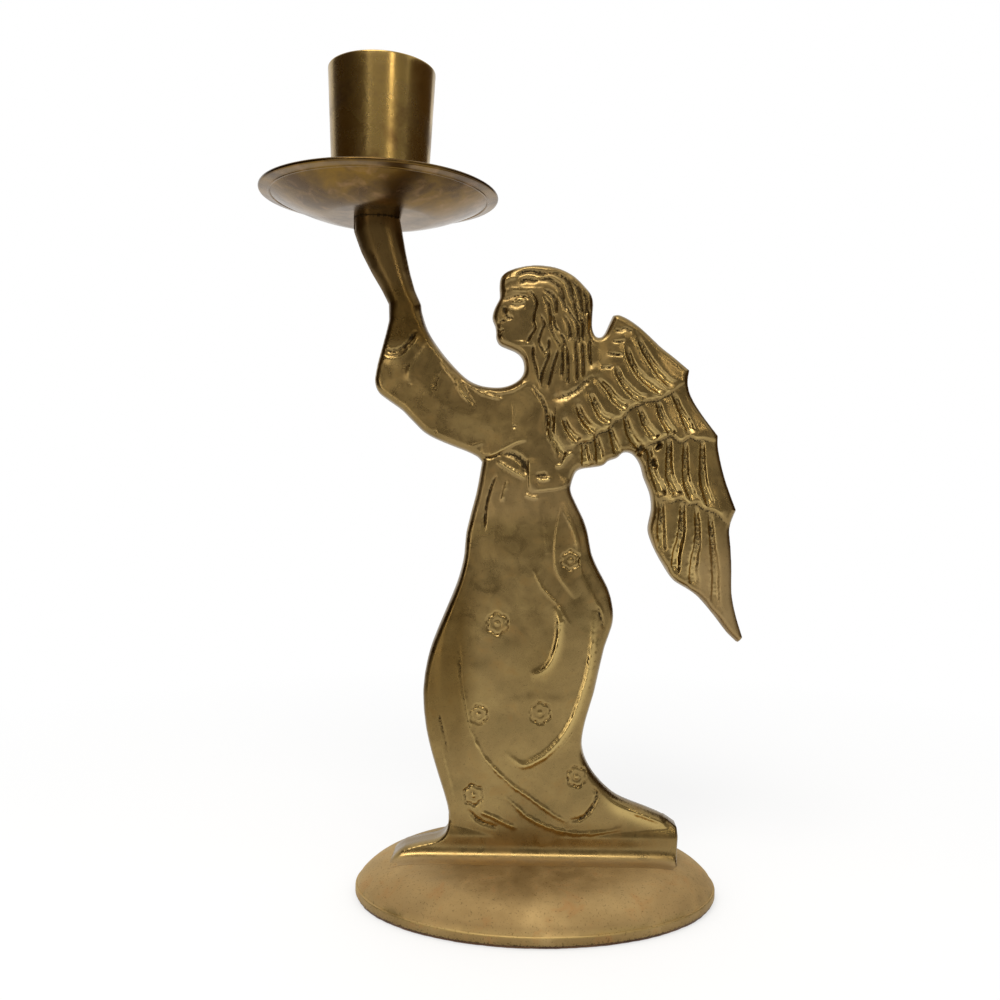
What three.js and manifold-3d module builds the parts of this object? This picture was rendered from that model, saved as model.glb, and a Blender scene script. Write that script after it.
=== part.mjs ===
// Angel candlestick in cast and turned brass, in millimetres, +Z up.
// A flat cast angel, seen from the side, stands on an oval domed foot and holds up a dished drip pan
// with one tapered candle cup. Two screws from beneath hold the foot to the figure's plinth, and one
// screw through the floor of the cup and the pan goes down into the hand.
// X runs to the right and Y away from the viewer who sees the angel look left. The origin is the centre
// of the foot's underside.
import * as THREE from 'three';
import { mergeVertices } from 'three/addons/utils/BufferGeometryUtils.js';
import Module from 'manifold-3d';

const wasm = await Module();
wasm.setup();

// Oval foot
const FOOT_LENGTH = 92.8;
const FOOT_WIDTH = 65;
const FOOT_HEIGHT = 9.2; // top of the dome above the felt
const FOOT_RIM_HEIGHT = 2.8; // upright band round the edge
const FOOT_WALL = 2.4;
const DOME_FULLNESS = 3.5; // power of the dome's curve beyond its flat middle: higher is rounder at the edge
const DOME_FLAT_SHARE = 0.6; // share of the oval, at its middle, that is quite flat
const FOOT_LAND_DEPTH = 0.6; // flat sunk into the dome, on which the plinth stands
const FELT_THICKNESS = 0.8;
const FELT_INSET = 0.5;

// Cast figure
const FIGURE_HALF_THICKNESS = 3.5;
const EDGE_DRAFT = 1.1; // how far the faces lie inside the parting line
const EDGE_BAND = 1.1; // half the width of the upright band at the parting line
const THIN_TIP_SHARE = 0.3; // share of a thin tip's own width that its draft may take
const PLINTH_HALF_WIDTH = 4.2;
const PLINTH_HEIGHT = 7.9;
const PLINTH_FILLET = 4.8; // concave foot of the plinth, along both long sides
const PLINTH_SPAN = 45; // reach of the fillet's bar to each side, cut back to the plinth's outline
const HAND_HEIGHT = 164.8; // top of the palm above the plinth's underside
const HAND_X = -43.8;
const FIGURE_X = -0.25; // the figure's outline stands this far from the middle of the foot
const HAND_HALF_LENGTH = 5.9;
const HAND_HALF_DEPTH = 4.1;
const RELIEF_ROOT = 0.6; // how deep a raised form is rooted under the face
const FEATHER_RISE = 0.8;
const HAIR_RISE = 0.7;
const FOLD_RISE = 0.55;
const HEAD_RISE = 0.5;
const HEAD_RADIUS = 9.6;
const HEAD_CENTRE = new THREE.Vector2(0.4, 142.6);
const ROSETTE_RISE = 0.5;
const ROSETTE_RADIUS = 2.9;
const ROSETTE_EYE_RADIUS = 0.9;
const ROSETTE_SIDES = 10;

// Drip pan and candle cup
const PAN_X = -43.35;
const PAN_RADIUS = 30.75;
const PAN_LIP_WIDTH = 3;
const PAN_SHEET = 1;
const PAN_RISE = 6.5; // from the pan's underside to the top of its lip
const PAN_LIP_RISE = 0.5;
const PAN_FLOOR_RADIUS = 13.2;
const DISH_CURVE = 1.45; // power of the dish's curve between its floor and its lip
const CUP_HEIGHT = 37.3;
const CUP_BASE_RADIUS = 12.05;
const CUP_MOUTH_RADIUS = 13.88;
const CUP_WALL = 1.2;
const CUP_FLOOR = 1.6;
const CUP_SPOT_FACE_DEPTH = 0.3; // shallow seat of the washer, sunk into the cup's floor

// Screws and washers
const CLEARANCE = 0.3;
const FOOT_SCREW_SPACING = 40;
const FOOT_SCREW_RADIUS = 2;
const FOOT_SCREW_HEAD_RADIUS = 3.9;
const FOOT_SCREW_HEAD_HEIGHT = 2.2;
const FOOT_SCREW_GRIP = 5.5; // length of the screw inside the plinth
const FOOT_WASHER_RADIUS = 5;
const FOOT_WASHER_THICKNESS = 0.9;
const CUP_SCREW_RADIUS = 2;
const CUP_SCREW_HEAD_RADIUS = 3.9;
const CUP_SCREW_HEAD_HEIGHT = 2.4;
const CUP_SCREW_GRIP = 9; // length of the screw inside the hand
const CUP_WASHER_RADIUS = 5;
const CUP_WASHER_THICKNESS = 1;
const SLOT_WIDTH = 1.1;
const SLOT_DEPTH = 1.1;
const HOLE_RUN_OUT = 1; // how far a tapped hole goes on past its screw

// Roundness of the turned pieces and of the oval foot
const ROUND_SIDES = 36;
const SMALL_SIDES = 18;

// Heights that follow from the sizes above
const FOOT_SEAT_Z = FELT_THICKNESS + FOOT_HEIGHT - FOOT_LAND_DEPTH;
const PAN_Z = FOOT_SEAT_Z + HAND_HEIGHT;
const CUP_Z = PAN_Z + PAN_SHEET;

// Outline of the cast figure in the plane of its parting line, as [x, z] with z above the plinth's
// underside. Each run is one smooth curve, and the runs meet in the casting's sharp corners.
const FIGURE_RUNS = [
  // inner side of the wrist, along the top of the sleeve, to the hollow of the neck
  [[-32.3, 142.5], [-30.8, 137.4], [-29.3, 134.3], [-26.2, 130.0], [-23.2, 126.6], [-19.8, 123.4],
    [-16.7, 121.9], [-13, 121.3], [-9.4, 121.6], [-6.3, 123.2], [-4.8, 125.3], [-5.1, 128.7],
    [-6.9, 130.6], [-9.4, 131.6], [-11.3, 132.4]],
  // chin, lips and nose to the brow
  [[-11.3, 132.4], [-12.1, 133.8], [-12.2, 135.6]],
  [[-12.2, 135.6], [-12.4, 137.2], [-13.3, 139.2], [-12.7, 141.9], [-11.3, 144.5]],
  // forehead, crown and the fall of the hair behind
  [[-11.3, 144.5], [-11.5, 149.2], [-10.6, 150.7], [-9.1, 151.7], [-5.6, 152.8], [-1.8, 153.2],
    [2.4, 152.8], [5, 152], [7.9, 150.4], [10.4, 148], [12.2, 145.9], [12.8, 143.6], [12.5, 137.9],
    [13.4, 135.1], [14.6, 134.7], [15.7, 135.3], [16.9, 137.8], [18.1, 140.5]],
  // leading edge of the wing, one run to each row of feathers
  [[18.1, 140.5], [19.7, 140.7], [25, 137.6], [30.3, 132.7], [34, 129.9], [38, 126.6]],
  [[38, 126.6], [37.6, 123.7], [38.3, 120.3], [41.3, 115.4], [45.7, 109.8]],
  [[45.7, 109.8], [45.6, 107.7], [46.6, 102.5], [48, 97.6], [50.7, 90.6]],
  [[50.7, 90.6], [49.6, 88], [49, 85.4], [49.4, 81.5], [49.8, 75], [49.9, 68.7], [51.2, 62.8],
    [52.9, 57.6]],
  // trailing edge of the wing, back up to its root
  [[52.9, 57.6], [51.6, 56.4], [46, 62.7], [41.3, 68.1], [38, 70.3], [34.9, 72.1], [32.4, 75.6],
    [30.2, 79.3], [28.4, 83.4], [28, 85.8], [28.9, 90.2], [28.4, 94.6], [26.6, 98.8], [26, 101.4],
    [24.5, 104], [23, 105.1], [21.1, 105.1], [19.6, 103.6], [17.3, 102.9], [16.2, 101.7], [13, 101.1],
    [9.8, 100.5], [8.7, 99.5]],
  // back of the gown down to the heel of the train
  [[8.7, 99.5], [7.6, 95.9], [7.9, 94], [11.1, 87.6], [12.4, 83.7], [13.4, 78.5], [15.7, 73.6],
    [17.9, 69.5], [19.2, 64.5], [19.2, 60.6], [17.2, 54.6], [14.7, 42.8], [12.6, 35.5], [11.7, 30.3],
    [11.8, 28.2], [12.6, 25.4], [15.1, 21.2], [19.8, 16.6], [23.5, 14.7], [32.6, 11.3], [36.5, 8.6]],
  // upright end of the plinth
  [[36.5, 8.6], [36.7, 6.5]],
  [[36.7, 6.5], [36.3, 0]],
  // underside
  [[36.3, 0], [-37.6, 0]],
  // ramp in front of the knees
  [[-37.6, 0], [-33.5, 2.6], [-25.6, 4.4], [-23.4, 5.8], [-22.6, 7.4], [-22.3, 9.8]],
  // front of the gown up to the sleeve
  [[-22.3, 9.8], [-22.8, 13], [-25, 19.8], [-27.1, 26.5], [-28.7, 33], [-29.6, 42.6], [-28.6, 50.4],
    [-27.3, 55.2], [-24.4, 62.6], [-21.4, 70.1], [-20.4, 73.5], [-19.5, 77.7], [-19.1, 83.7],
    [-16.6, 93.9], [-15.3, 102]],
  // underside of the sleeve and the elbow, up to the wrist
  [[-15.3, 102], [-16.6, 103.5], [-22, 105.7], [-27.4, 107.8], [-30.8, 109.7], [-36.3, 115.2],
    [-41.9, 119], [-43, 120.5], [-43.5, 123.1], [-41.8, 131], [-40, 138.5], [-39.8, 142.5]],
  [[-39.8, 142.5], [-32.3, 142.5]],
];

// Bare wrist and hand, as stations up the arm: centre, height, half length and half depth.
const HAND_STATIONS = [
  [-35.6, 132.5, 4.2, 3.2],
  [-36.1, 142.5, 4.1, 3.3],
  [-37.9, 146.2, 4.2, 3.4],
  [-39.9, 150.6, 4.9, 3.6],
  [-41.9, 155.9, 5.7, 3.9],
  [-43.4, 161.2, 6.2, 4.1],
  [HAND_X, HAND_HEIGHT, HAND_HALF_LENGTH, HAND_HALF_DEPTH],
];

// Feathers as the centre lines of their vanes, from root to tip, in four overlapping rows.
const SHORT_FEATHER_WIDTH = 4.6;
const MIDDLE_FEATHER_WIDTH = 3.8;
const LONG_FEATHER_WIDTH = 4;
const TIP_FEATHER_WIDTH = 3.9;
const FEATHER_ROWS = [
  {
    width: SHORT_FEATHER_WIDTH,
    vanes: [
      [[21.5, 137.2], [26, 133.4], [30.6, 129], [35.6, 125.2]],
      [[21.6, 134.1], [25, 129], [28.1, 124.8], [33.5, 121.5]],
      [[19.7, 130], [21.6, 125.8], [24.4, 122.5], [30.1, 119.5]],
      [[16.3, 126.1], [18.6, 122.4], [21.4, 119.4], [25.6, 117.3]],
      [[13.3, 122.3], [15.3, 119.2], [17.6, 116.2], [21.4, 114.8]],
      [[10.3, 119.5], [11.9, 115.8], [13.8, 113.1], [17.3, 111.7]],
      [[6.9, 115.7], [8.5, 112.3], [10.5, 109.6], [13.5, 108.5]],
      [[4.3, 113.3], [5.1, 110.3], [7.1, 107.7], [9, 106.2]],
    ],
  },
  {
    width: MIDDLE_FEATHER_WIDTH,
    vanes: [
      [[35.2, 120.8], [37.6, 116.6], [40, 112.9], [42.4, 110.2]],
      [[31.7, 118.8], [33.3, 115.4], [35.2, 112.3], [37.2, 110.3]],
      [[27.5, 116.8], [28.7, 113.8], [30.3, 111.1], [31.9, 109.4]],
      [[23.7, 114.4], [24.9, 111.4], [26.5, 108.8], [28, 106.9]],
      [[20, 112.1], [21.2, 109], [22.6, 107], [23.6, 105.9]],
      [[16.2, 109.3], [17, 106.7], [18.4, 104.9]],
      [[12.6, 107], [13.2, 104.3], [13.6, 102.3]],
    ],
  },
  {
    width: LONG_FEATHER_WIDTH,
    vanes: [
      [[42.6, 108.3], [43.3, 102.2], [45.1, 95.7], [47.8, 91.2]],
      [[39, 108.1], [39.3, 101.4], [40.4, 96], [42.4, 91.4]],
      [[34.8, 108], [34.9, 100.5], [36.3, 96.4], [38.3, 92.3]],
      [[31, 107.4], [31.2, 100.5], [32.1, 96.7], [33.9, 93.4]],
    ],
  },
  {
    width: TIP_FEATHER_WIDTH,
    vanes: [
      [[46.2, 89.4], [46.8, 81.2], [47.2, 71.6], [50.4, 60.6]],
      [[42, 89.9], [42.6, 83.1], [42.6, 75.4], [43.9, 68.6]],
      [[38, 91], [38.3, 84.5], [37.8, 78.4], [37.9, 73.4]],
      [[33.8, 92.1], [33.9, 86], [33.6, 81], [33.6, 77.6]],
      [[31.4, 92], [31, 88.2], [31.2, 84]],
    ],
  },
];

// Locks of hair, from the brow over the crown and down to the shoulder.
const HAIR_WIDTH = 2.3;
const HAIR_LOCKS = [
  [[-6.7, 149.4], [-3.1, 150], [1.1, 149.6], [5, 148.2], [8, 144.2]],
  [[-6.2, 147.8], [-2.1, 147.9], [1.7, 147.2], [4.3, 144.2], [5, 138.8]],
  [[-2.2, 145.1], [-1.6, 142], [-2, 137.7], [-3, 133.9], [-2, 129.2], [-1.2, 124.4]],
  [[0.8, 144.6], [1.6, 140.2], [1.2, 134.9], [1.8, 130.2], [2, 122.4]],
  [[5.2, 139.8], [6.3, 136], [6, 131.2], [5.2, 127], [5, 122.3]],
  [[10.2, 145.1], [10, 140.3], [9.3, 135.1], [8.9, 129.4], [8.3, 124.4]],
];

// Raised folds of the gown, the sleeve and its cuff, the sash and the hem of the mantle.
const FOLD_WIDTH = 2.2;
const FOLDS = [
  [[-40.6, 131.6], [-38.4, 129.6], [-35.6, 131], [-33.2, 135.6]],
  [[-28.6, 131.2], [-32.4, 125.5], [-34.5, 121.8]],
  [[-26, 126.9], [-23.4, 123.2], [-20, 118.7], [-17.5, 115.8]],
  [[-11.5, 100.2], [-13.4, 93.5], [-14.5, 84]],
  [[-11.1, 95.6], [-7.3, 94.6], [-1.8, 93.4], [4.6, 94.8]],
  [[5.6, 91], [3.6, 85.8], [3.6, 76.6], [4.7, 72.2], [8.9, 67.2]],
  [[7.4, 90], [10.2, 80.8], [11.8, 73.4], [14.2, 66.2], [14, 56], [12.4, 46], [9.8, 38.4],
    [3.3, 29.6], [-2.3, 27.2], [-7.4, 27.6]],
  [[-1.5, 75.5], [0.6, 69.6], [4.8, 65], [5.9, 60.7], [5, 55.5], [-1.1, 47.5]],
  [[-20.4, 51.8], [-19.5, 43.6], [-16.5, 32.1], [-12.2, 25.2], [-6.8, 20.4], [-0.3, 15.9],
    [8.6, 10.6], [15, 14.6]],
  [[-8.5, 16], [-3.8, 12.5], [2.7, 9.8], [13.8, 8.8], [22.5, 9.6]],
];

// Centres of the flowers cast on the gown.
const ROSETTES = [[7.4, 77.2], [-10.8, 60.7], [0.6, 38], [-14.5, 37], [-16.2, 16.4], [10.4, 21.5]];

const BRASS = { color: 0x9a7a3c, roughness: 0.38, metalness: 1 };
const POLISHED_BRASS = { color: 0xa8822f, roughness: 0.25, metalness: 1 };
const STEEL = { color: 0x8d8f91, roughness: 0.4, metalness: 1 };
const FELT = { color: 0x3a2a1e, roughness: 0.95, metalness: 0 };

// A closed three.js geometry as a solid that can be joined and cut.
function solid(geometry) {
  const bare = geometry.clone();
  bare.deleteAttribute('normal');
  bare.deleteAttribute('uv');
  const merged = mergeVertices(bare, 1e-4);
  const triangles = [];
  for (let i = 0; i < merged.index.count; i += 3) {
    const [a, b, c] = [0, 1, 2].map((k) => merged.index.getX(i + k));
    if (a !== b && b !== c && c !== a) triangles.push(a, b, c);
  }
  return new wasm.Manifold(new wasm.Mesh({
    numProp: 3,
    vertProperties: new Float32Array(merged.attributes.position.array),
    triVerts: new Uint32Array(triangles),
  }));
}

// The solid's surface as a three.js geometry.
function surface(body) {
  const mesh = body.getMesh();
  const geometry = new THREE.BufferGeometry();
  geometry.setAttribute('position', new THREE.BufferAttribute(new Float32Array(mesh.vertProperties), 3));
  geometry.setIndex(new THREE.BufferAttribute(new Uint32Array(mesh.triVerts), 1));
  geometry.computeVertexNormals();
  return geometry;
}

// A named piece of one material.
function piece(name, body, finish) {
  const mesh = new THREE.Mesh(surface(body), new THREE.MeshStandardMaterial(finish));
  mesh.name = name;
  return mesh;
}

// A solid turned about the Z axis from [radius, z] points that go up its outer side.
function turned(profile, sides = ROUND_SIDES) {
  const points = profile.map(([r, z]) => new THREE.Vector2(r, z));
  return new THREE.LatheGeometry(points, sides).rotateX(Math.PI / 2);
}

// An upright round bar, used for shanks, washers and holes.
function bar(radius, from, to, sides = SMALL_SIDES) {
  return solid(turned([[0, from], [radius, from], [radius, to], [0, to]], sides));
}

// A flat outline in X and Z, extruded along Y to both sides of the parting plane.
function slab(outline, halfDepth) {
  const geometry = new THREE.ExtrudeGeometry(new THREE.Shape(outline), {
    depth: 2 * halfDepth, steps: 1, bevelEnabled: false,
  });
  return solid(geometry.translate(0, 0, -halfDepth).rotateX(Math.PI / 2));
}

// A smooth curve through hand-set [x, z] points, as closely spaced points.
function smooth(points, perSpan = 2) {
  if (points.length === 2) return points.map(([x, z]) => new THREE.Vector2(x, z));
  const curve = new THREE.CatmullRomCurve3(
    points.map(([x, z]) => new THREE.Vector3(x, z, 0)), false, 'centripetal');
  return curve.getPoints((points.length - 1) * perSpan).map((p) => new THREE.Vector2(p.x, p.y));
}

// The oval dome that half axes and a height give: an upright rim and a curve of the set fullness. It
// starts at z = 0, or lower where it is cut out of another.
function dome(halfLength, halfWidth, rimHeight, height, startZ = 0) {
  const profile = [[0, startZ], [1, startZ]];
  const steps = 7;
  for (let i = 0; i <= steps; i += 1) {
    const drop = (1 - i / steps) ** 2;
    const share = DOME_FLAT_SHARE + (1 - DOME_FLAT_SHARE) * drop ** (1 / DOME_FULLNESS);
    profile.push([share, height - (height - rimHeight) * drop]);
  }
  profile.push([0, height]);
  return solid(turned(profile).scale(halfLength, halfWidth, 1));
}

function figureOutline() {
  return FIGURE_RUNS.flatMap((run) => smooth(run).slice(0, -1));
}

// A closed skin over stations of equal point counts, each station a ring of vectors. The two ends are
// fans, or the triangles that are given for the first ring.
function loft(rings, caps = null) {
  const sides = rings[0].length;
  const positions = rings.flat().flatMap((p) => [p.x, p.y, p.z]);
  const index = [];
  for (let i = 0; i + 1 < rings.length; i += 1) {
    for (let k = 0; k < sides; k += 1) {
      const [a, b] = [i * sides + k, i * sides + ((k + 1) % sides)];
      index.push(a, b, b + sides, a, b + sides, a + sides);
    }
  }
  const last = (rings.length - 1) * sides;
  const ends = caps ?? Array.from({ length: sides - 2 }, (_, k) => [0, k + 1, k + 2]);
  for (const [a, b, c] of ends) index.push(a, c, b, last + a, last + b, last + c);
  const geometry = new THREE.BufferGeometry();
  geometry.setAttribute('position', new THREE.Float32BufferAttribute(positions, 3));
  geometry.setIndex(index);
  return solid(geometry);
}

// The outline drawn in by the draft, and by less where the casting is thin.
function drawnIn(outline, draft) {
  const count = outline.length;
  const at = (i) => outline[(i + count) % count];
  const apart = 6; // points that are nearer along the outline don't count as its other side
  const room = outline.map((point, i) => {
    const far = outline.filter((_, k) => Math.min(Math.abs(k - i), count - Math.abs(k - i)) > apart);
    return Math.min(...far.map((other) => other.distanceTo(point)));
  });
  return outline.map((point, i) => {
    const along = at(i + 1).clone().sub(at(i - 1)).normalize();
    const inward = new THREE.Vector2(along.y, -along.x);
    return point.clone().addScaledVector(inward, Math.min(draft, THIN_TIP_SHARE * room[i]));
  });
}

// The flat body of the casting: an upright band at the parting line, and drafted edges on both faces.
function draftedSlab(outline) {
  const face = drawnIn(outline, EDGE_DRAFT);
  const ring = (points, y) => points.map((p) => new THREE.Vector3(p.x, y, p.y));
  const caps = THREE.ShapeUtils.triangulateShape(outline, []).map(([a, b, c]) => [a, c, b]);
  return loft([
    ring(face, -FIGURE_HALF_THICKNESS), ring(outline, -EDGE_BAND),
    ring(outline, EDGE_BAND), ring(face, FIGURE_HALF_THICKNESS),
  ], caps);
}

// The bare wrist and hand: oval sections up to the flat palm on which the pan rests.
function hand() {
  const sides = 16;
  return loft(HAND_STATIONS.map(([x, z, halfLength, halfDepth]) => {
    const ring = [];
    for (let k = 0; k < sides; k += 1) {
      const angle = (2 * Math.PI * k) / sides;
      ring.push(new THREE.Vector3(x + halfLength * Math.cos(angle), halfDepth * Math.sin(angle), z));
    }
    return ring;
  }));
}

// A raised form along a curve, alike on both faces of the casting. It swells from each end to its
// full width and rise.
function ridge(points, width, rise, bluntTip = 0.45) {
  const curve = new THREE.CatmullRomCurve3(
    points.map(([x, z]) => new THREE.Vector3(x, 0, z)), false, 'centripetal');
  const spans = Math.max(3, points.length);
  const rings = [];
  for (let i = 0; i <= spans; i += 1) {
    const t = i / spans;
    const at = curve.getPoint(t);
    const along = curve.getTangent(t);
    const across = new THREE.Vector3(along.z, 0, -along.x).multiplyScalar(width / 2);
    const swell = i === 0 || i === spans ? bluntTip : 1;
    const root = FIGURE_HALF_THICKNESS - RELIEF_ROOT;
    const crest = i === 0 || i === spans ? root + RELIEF_ROOT / 2 : FIGURE_HALF_THICKNESS + rise;
    const section = [[1, root], [0.4, crest], [-0.4, crest], [-1, root]];
    const front = section.map(([s, depth]) => at.clone().addScaledVector(across, s * swell)
      .setY(-depth));
    const back = front.map((p) => p.clone().setY(-p.y)).reverse();
    rings.push([...front, ...back].reverse());
  }
  return loft(rings);
}

// A cast flower: a round boss with a raised eye, alike on both faces.
function rosette([x, z]) {
  const boss = (radius, rise) => {
    const geometry = new THREE.CylinderGeometry(
      radius, radius, 2 * (FIGURE_HALF_THICKNESS + rise), ROSETTE_SIDES);
    return solid(geometry.translate(x, 0, z));
  };
  return boss(ROSETTE_RADIUS, ROSETTE_RISE / 2).add(boss(ROSETTE_EYE_RADIUS, ROSETTE_RISE));
}

// The head's swell over the flat of the casting.
function head() {
  const depth = FIGURE_HALF_THICKNESS + HEAD_RISE;
  const geometry = new THREE.SphereGeometry(1, 14, 10).scale(HEAD_RADIUS, depth, HEAD_RADIUS);
  return solid(geometry.translate(HEAD_CENTRE.x, 0, HEAD_CENTRE.y));
}

// The plinth with a concave fillet along each long side, as long as the figure's outline allows.
function plinth(outline) {
  const corner = new THREE.Vector2(PLINTH_HALF_WIDTH + PLINTH_FILLET, PLINTH_FILLET);
  const side = [];
  const steps = 6;
  for (let i = 0; i <= steps; i += 1) {
    const angle = (i / steps) * (Math.PI / 2);
    side.push(new THREE.Vector2(
      corner.x - PLINTH_FILLET * Math.sin(angle), corner.y - PLINTH_FILLET * Math.cos(angle)));
  }
  side.push(new THREE.Vector2(PLINTH_HALF_WIDTH, PLINTH_HEIGHT - 1));
  side.push(new THREE.Vector2(PLINTH_HALF_WIDTH - 1, PLINTH_HEIGHT));
  const other = side.map((p) => new THREE.Vector2(-p.x, p.y)).reverse();
  const geometry = new THREE.ExtrudeGeometry(new THREE.Shape([...side, ...other]), {
    depth: 2 * PLINTH_SPAN, steps: 1, bevelEnabled: false,
  });
  const stretch = solid(geometry.translate(0, 0, -PLINTH_SPAN).rotateX(Math.PI / 2).rotateZ(Math.PI / 2));
  return stretch.intersect(slab(outline, PLINTH_HALF_WIDTH + 2 * PLINTH_FILLET));
}

const footScrewX = [-FOOT_SCREW_SPACING / 2, FOOT_SCREW_SPACING / 2];

function angelFigure() {
  const outline = figureOutline();
  let body = draftedSlab(outline).add(plinth(outline)).add(hand()).add(head());
  for (const row of FEATHER_ROWS) {
    for (const vane of row.vanes) body = body.add(ridge(vane, row.width, FEATHER_RISE));
  }
  for (const lock of HAIR_LOCKS) body = body.add(ridge(lock, HAIR_WIDTH, HAIR_RISE));
  for (const fold of FOLDS) body = body.add(ridge(fold, FOLD_WIDTH, FOLD_RISE));
  for (const centre of ROSETTES) body = body.add(rosette(centre));
  for (const x of footScrewX) {
    const hole = bar(FOOT_SCREW_RADIUS + CLEARANCE, -1, FOOT_SCREW_GRIP + HOLE_RUN_OUT);
    body = body.subtract(hole.translate([x - FIGURE_X, 0, 0]));
  }
  const cupHole = bar(
    CUP_SCREW_RADIUS + CLEARANCE, HAND_HEIGHT - CUP_SCREW_GRIP - HOLE_RUN_OUT, HAND_HEIGHT + 1);
  body = body.subtract(cupHole.translate([PAN_X - FIGURE_X, 0, 0]));
  return body.translate([FIGURE_X, 0, FOOT_SEAT_Z]);
}

// The foot: an oval dome, hollow beneath, with a sunk land that takes the plinth and its fillets.
function foot() {
  const outer = dome(FOOT_LENGTH / 2, FOOT_WIDTH / 2, FOOT_RIM_HEIGHT, FOOT_HEIGHT);
  const hollow = dome(
    FOOT_LENGTH / 2 - FOOT_WALL, FOOT_WIDTH / 2 - FOOT_WALL,
    FOOT_RIM_HEIGHT - FOOT_WALL / 2, FOOT_HEIGHT - FOOT_WALL, -FOOT_WALL);
  const xs = FIGURE_RUNS.flat().filter(([, z]) => z === 0).map(([x]) => x + FIGURE_X);
  const [low, high] = [Math.min(...xs) - CLEARANCE, Math.max(...xs) + CLEARANCE];
  const halfWidth = PLINTH_HALF_WIDTH + PLINTH_FILLET + CLEARANCE;
  const land = new THREE.BoxGeometry(high - low, 2 * halfWidth, 2 * FOOT_LAND_DEPTH);
  let body = outer.subtract(hollow);
  body = body.subtract(solid(land.translate((low + high) / 2, 0, FOOT_HEIGHT)));
  const hole = bar(FOOT_SCREW_RADIUS + CLEARANCE, -1, FOOT_HEIGHT + 1);
  for (const x of footScrewX) body = body.subtract(hole.translate([x, 0, 0]));
  return body.translate([0, 0, FELT_THICKNESS]);
}

function feltPad() {
  const oval = turned([[0, 0], [1, 0], [1, FELT_THICKNESS], [0, FELT_THICKNESS]]);
  return solid(oval.scale(FOOT_LENGTH / 2 - FELT_INSET, FOOT_WIDTH / 2 - FELT_INSET, 1));
}

function washer(radius, hole, thickness) {
  return solid(turned([[hole, 0], [radius, 0], [radius, thickness], [hole, thickness], [hole, 0]],
    SMALL_SIDES));
}

// A slotted pan-head screw whose head stands on z = 0 and whose shank points down.
function screw(radius, headRadius, headHeight, length) {
  const tip = radius / 2;
  const shaped = solid(turned([
    [0, -length], [radius - tip, -length], [radius, -length + tip], [radius, 0], [headRadius, 0],
    [headRadius, headHeight * 0.6], [headRadius * 0.75, headHeight], [0, headHeight]], SMALL_SIDES));
  const slot = new THREE.BoxGeometry(3 * headRadius, SLOT_WIDTH, 2 * SLOT_DEPTH);
  return shaped.subtract(solid(slot.translate(0, 0, headHeight)));
}

// The pan: a flat floor, a dished wall and a lip that rises a little to a rounded edge.
function dripPan() {
  const lipRadius = PAN_RADIUS - PAN_LIP_WIDTH;
  const bowlRise = PAN_RISE - PAN_SHEET - PAN_LIP_RISE;
  const under = [[CUP_SCREW_RADIUS + CLEARANCE, 0], [PAN_FLOOR_RADIUS, 0]];
  const steps = 5;
  for (let i = 1; i <= steps; i += 1) {
    const t = i / steps;
    under.push([PAN_FLOOR_RADIUS + (lipRadius - PAN_FLOOR_RADIUS) * t, bowlRise * t ** DISH_CURVE]);
  }
  under.push([PAN_RADIUS - PAN_SHEET / 3, bowlRise + PAN_LIP_RISE]);
  const over = under.map(([r, z]) => [r, z + PAN_SHEET]).reverse();
  const edge = [PAN_RADIUS, bowlRise + PAN_LIP_RISE + PAN_SHEET / 2];
  return solid(turned([...under, edge, ...over, under[0]]));
}

// The cup: a tapered turned wall with an even thickness, and a floor with a hole for the screw and a
// spot face for its washer.
function candleCup() {
  const hole = CUP_SCREW_RADIUS + CLEARANCE;
  const spotFace = CUP_WASHER_RADIUS + CLEARANCE;
  const wallAt = (z) => CUP_BASE_RADIUS + ((CUP_MOUTH_RADIUS - CUP_BASE_RADIUS) * z) / CUP_HEIGHT;
  const ease = CUP_WALL / 4;
  return solid(turned([
    [hole, 0], [wallAt(0) - ease, 0], [wallAt(0), ease], [wallAt(CUP_HEIGHT), CUP_HEIGHT - ease],
    [wallAt(CUP_HEIGHT) - ease, CUP_HEIGHT], [wallAt(CUP_HEIGHT) - CUP_WALL, CUP_HEIGHT],
    [wallAt(CUP_FLOOR) - CUP_WALL, CUP_FLOOR], [spotFace, CUP_FLOOR],
    [spotFace, CUP_FLOOR - CUP_SPOT_FACE_DEPTH], [hole, CUP_FLOOR - CUP_SPOT_FACE_DEPTH], [hole, 0]]));
}

const candlestick = new THREE.Group();

candlestick.add(piece('felt_pad', feltPad(), FELT));
candlestick.add(piece('foot', foot(), BRASS));
candlestick.add(piece('angel_figure', angelFigure(), BRASS));

// The foot screws stand head down under the foot's inner face, each on its washer.
const footCeilingZ = FELT_THICKNESS + FOOT_HEIGHT - FOOT_WALL;
const plateUnderPlinth = FOOT_SEAT_Z - footCeilingZ;
for (const [side, x] of [['left', footScrewX[0]], ['right', footScrewX[1]]]) {
  const ring = piece(`foot_washer_${side}`,
    washer(FOOT_WASHER_RADIUS, FOOT_SCREW_RADIUS + CLEARANCE, FOOT_WASHER_THICKNESS), STEEL);
  ring.position.set(x, 0, footCeilingZ - FOOT_WASHER_THICKNESS);
  const fixing = piece(`foot_screw_${side}`,
    screw(FOOT_SCREW_RADIUS, FOOT_SCREW_HEAD_RADIUS, FOOT_SCREW_HEAD_HEIGHT,
      FOOT_WASHER_THICKNESS + plateUnderPlinth + FOOT_SCREW_GRIP), STEEL);
  fixing.rotation.x = Math.PI;
  fixing.position.set(x, 0, footCeilingZ - FOOT_WASHER_THICKNESS);
  candlestick.add(ring, fixing);
}

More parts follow.
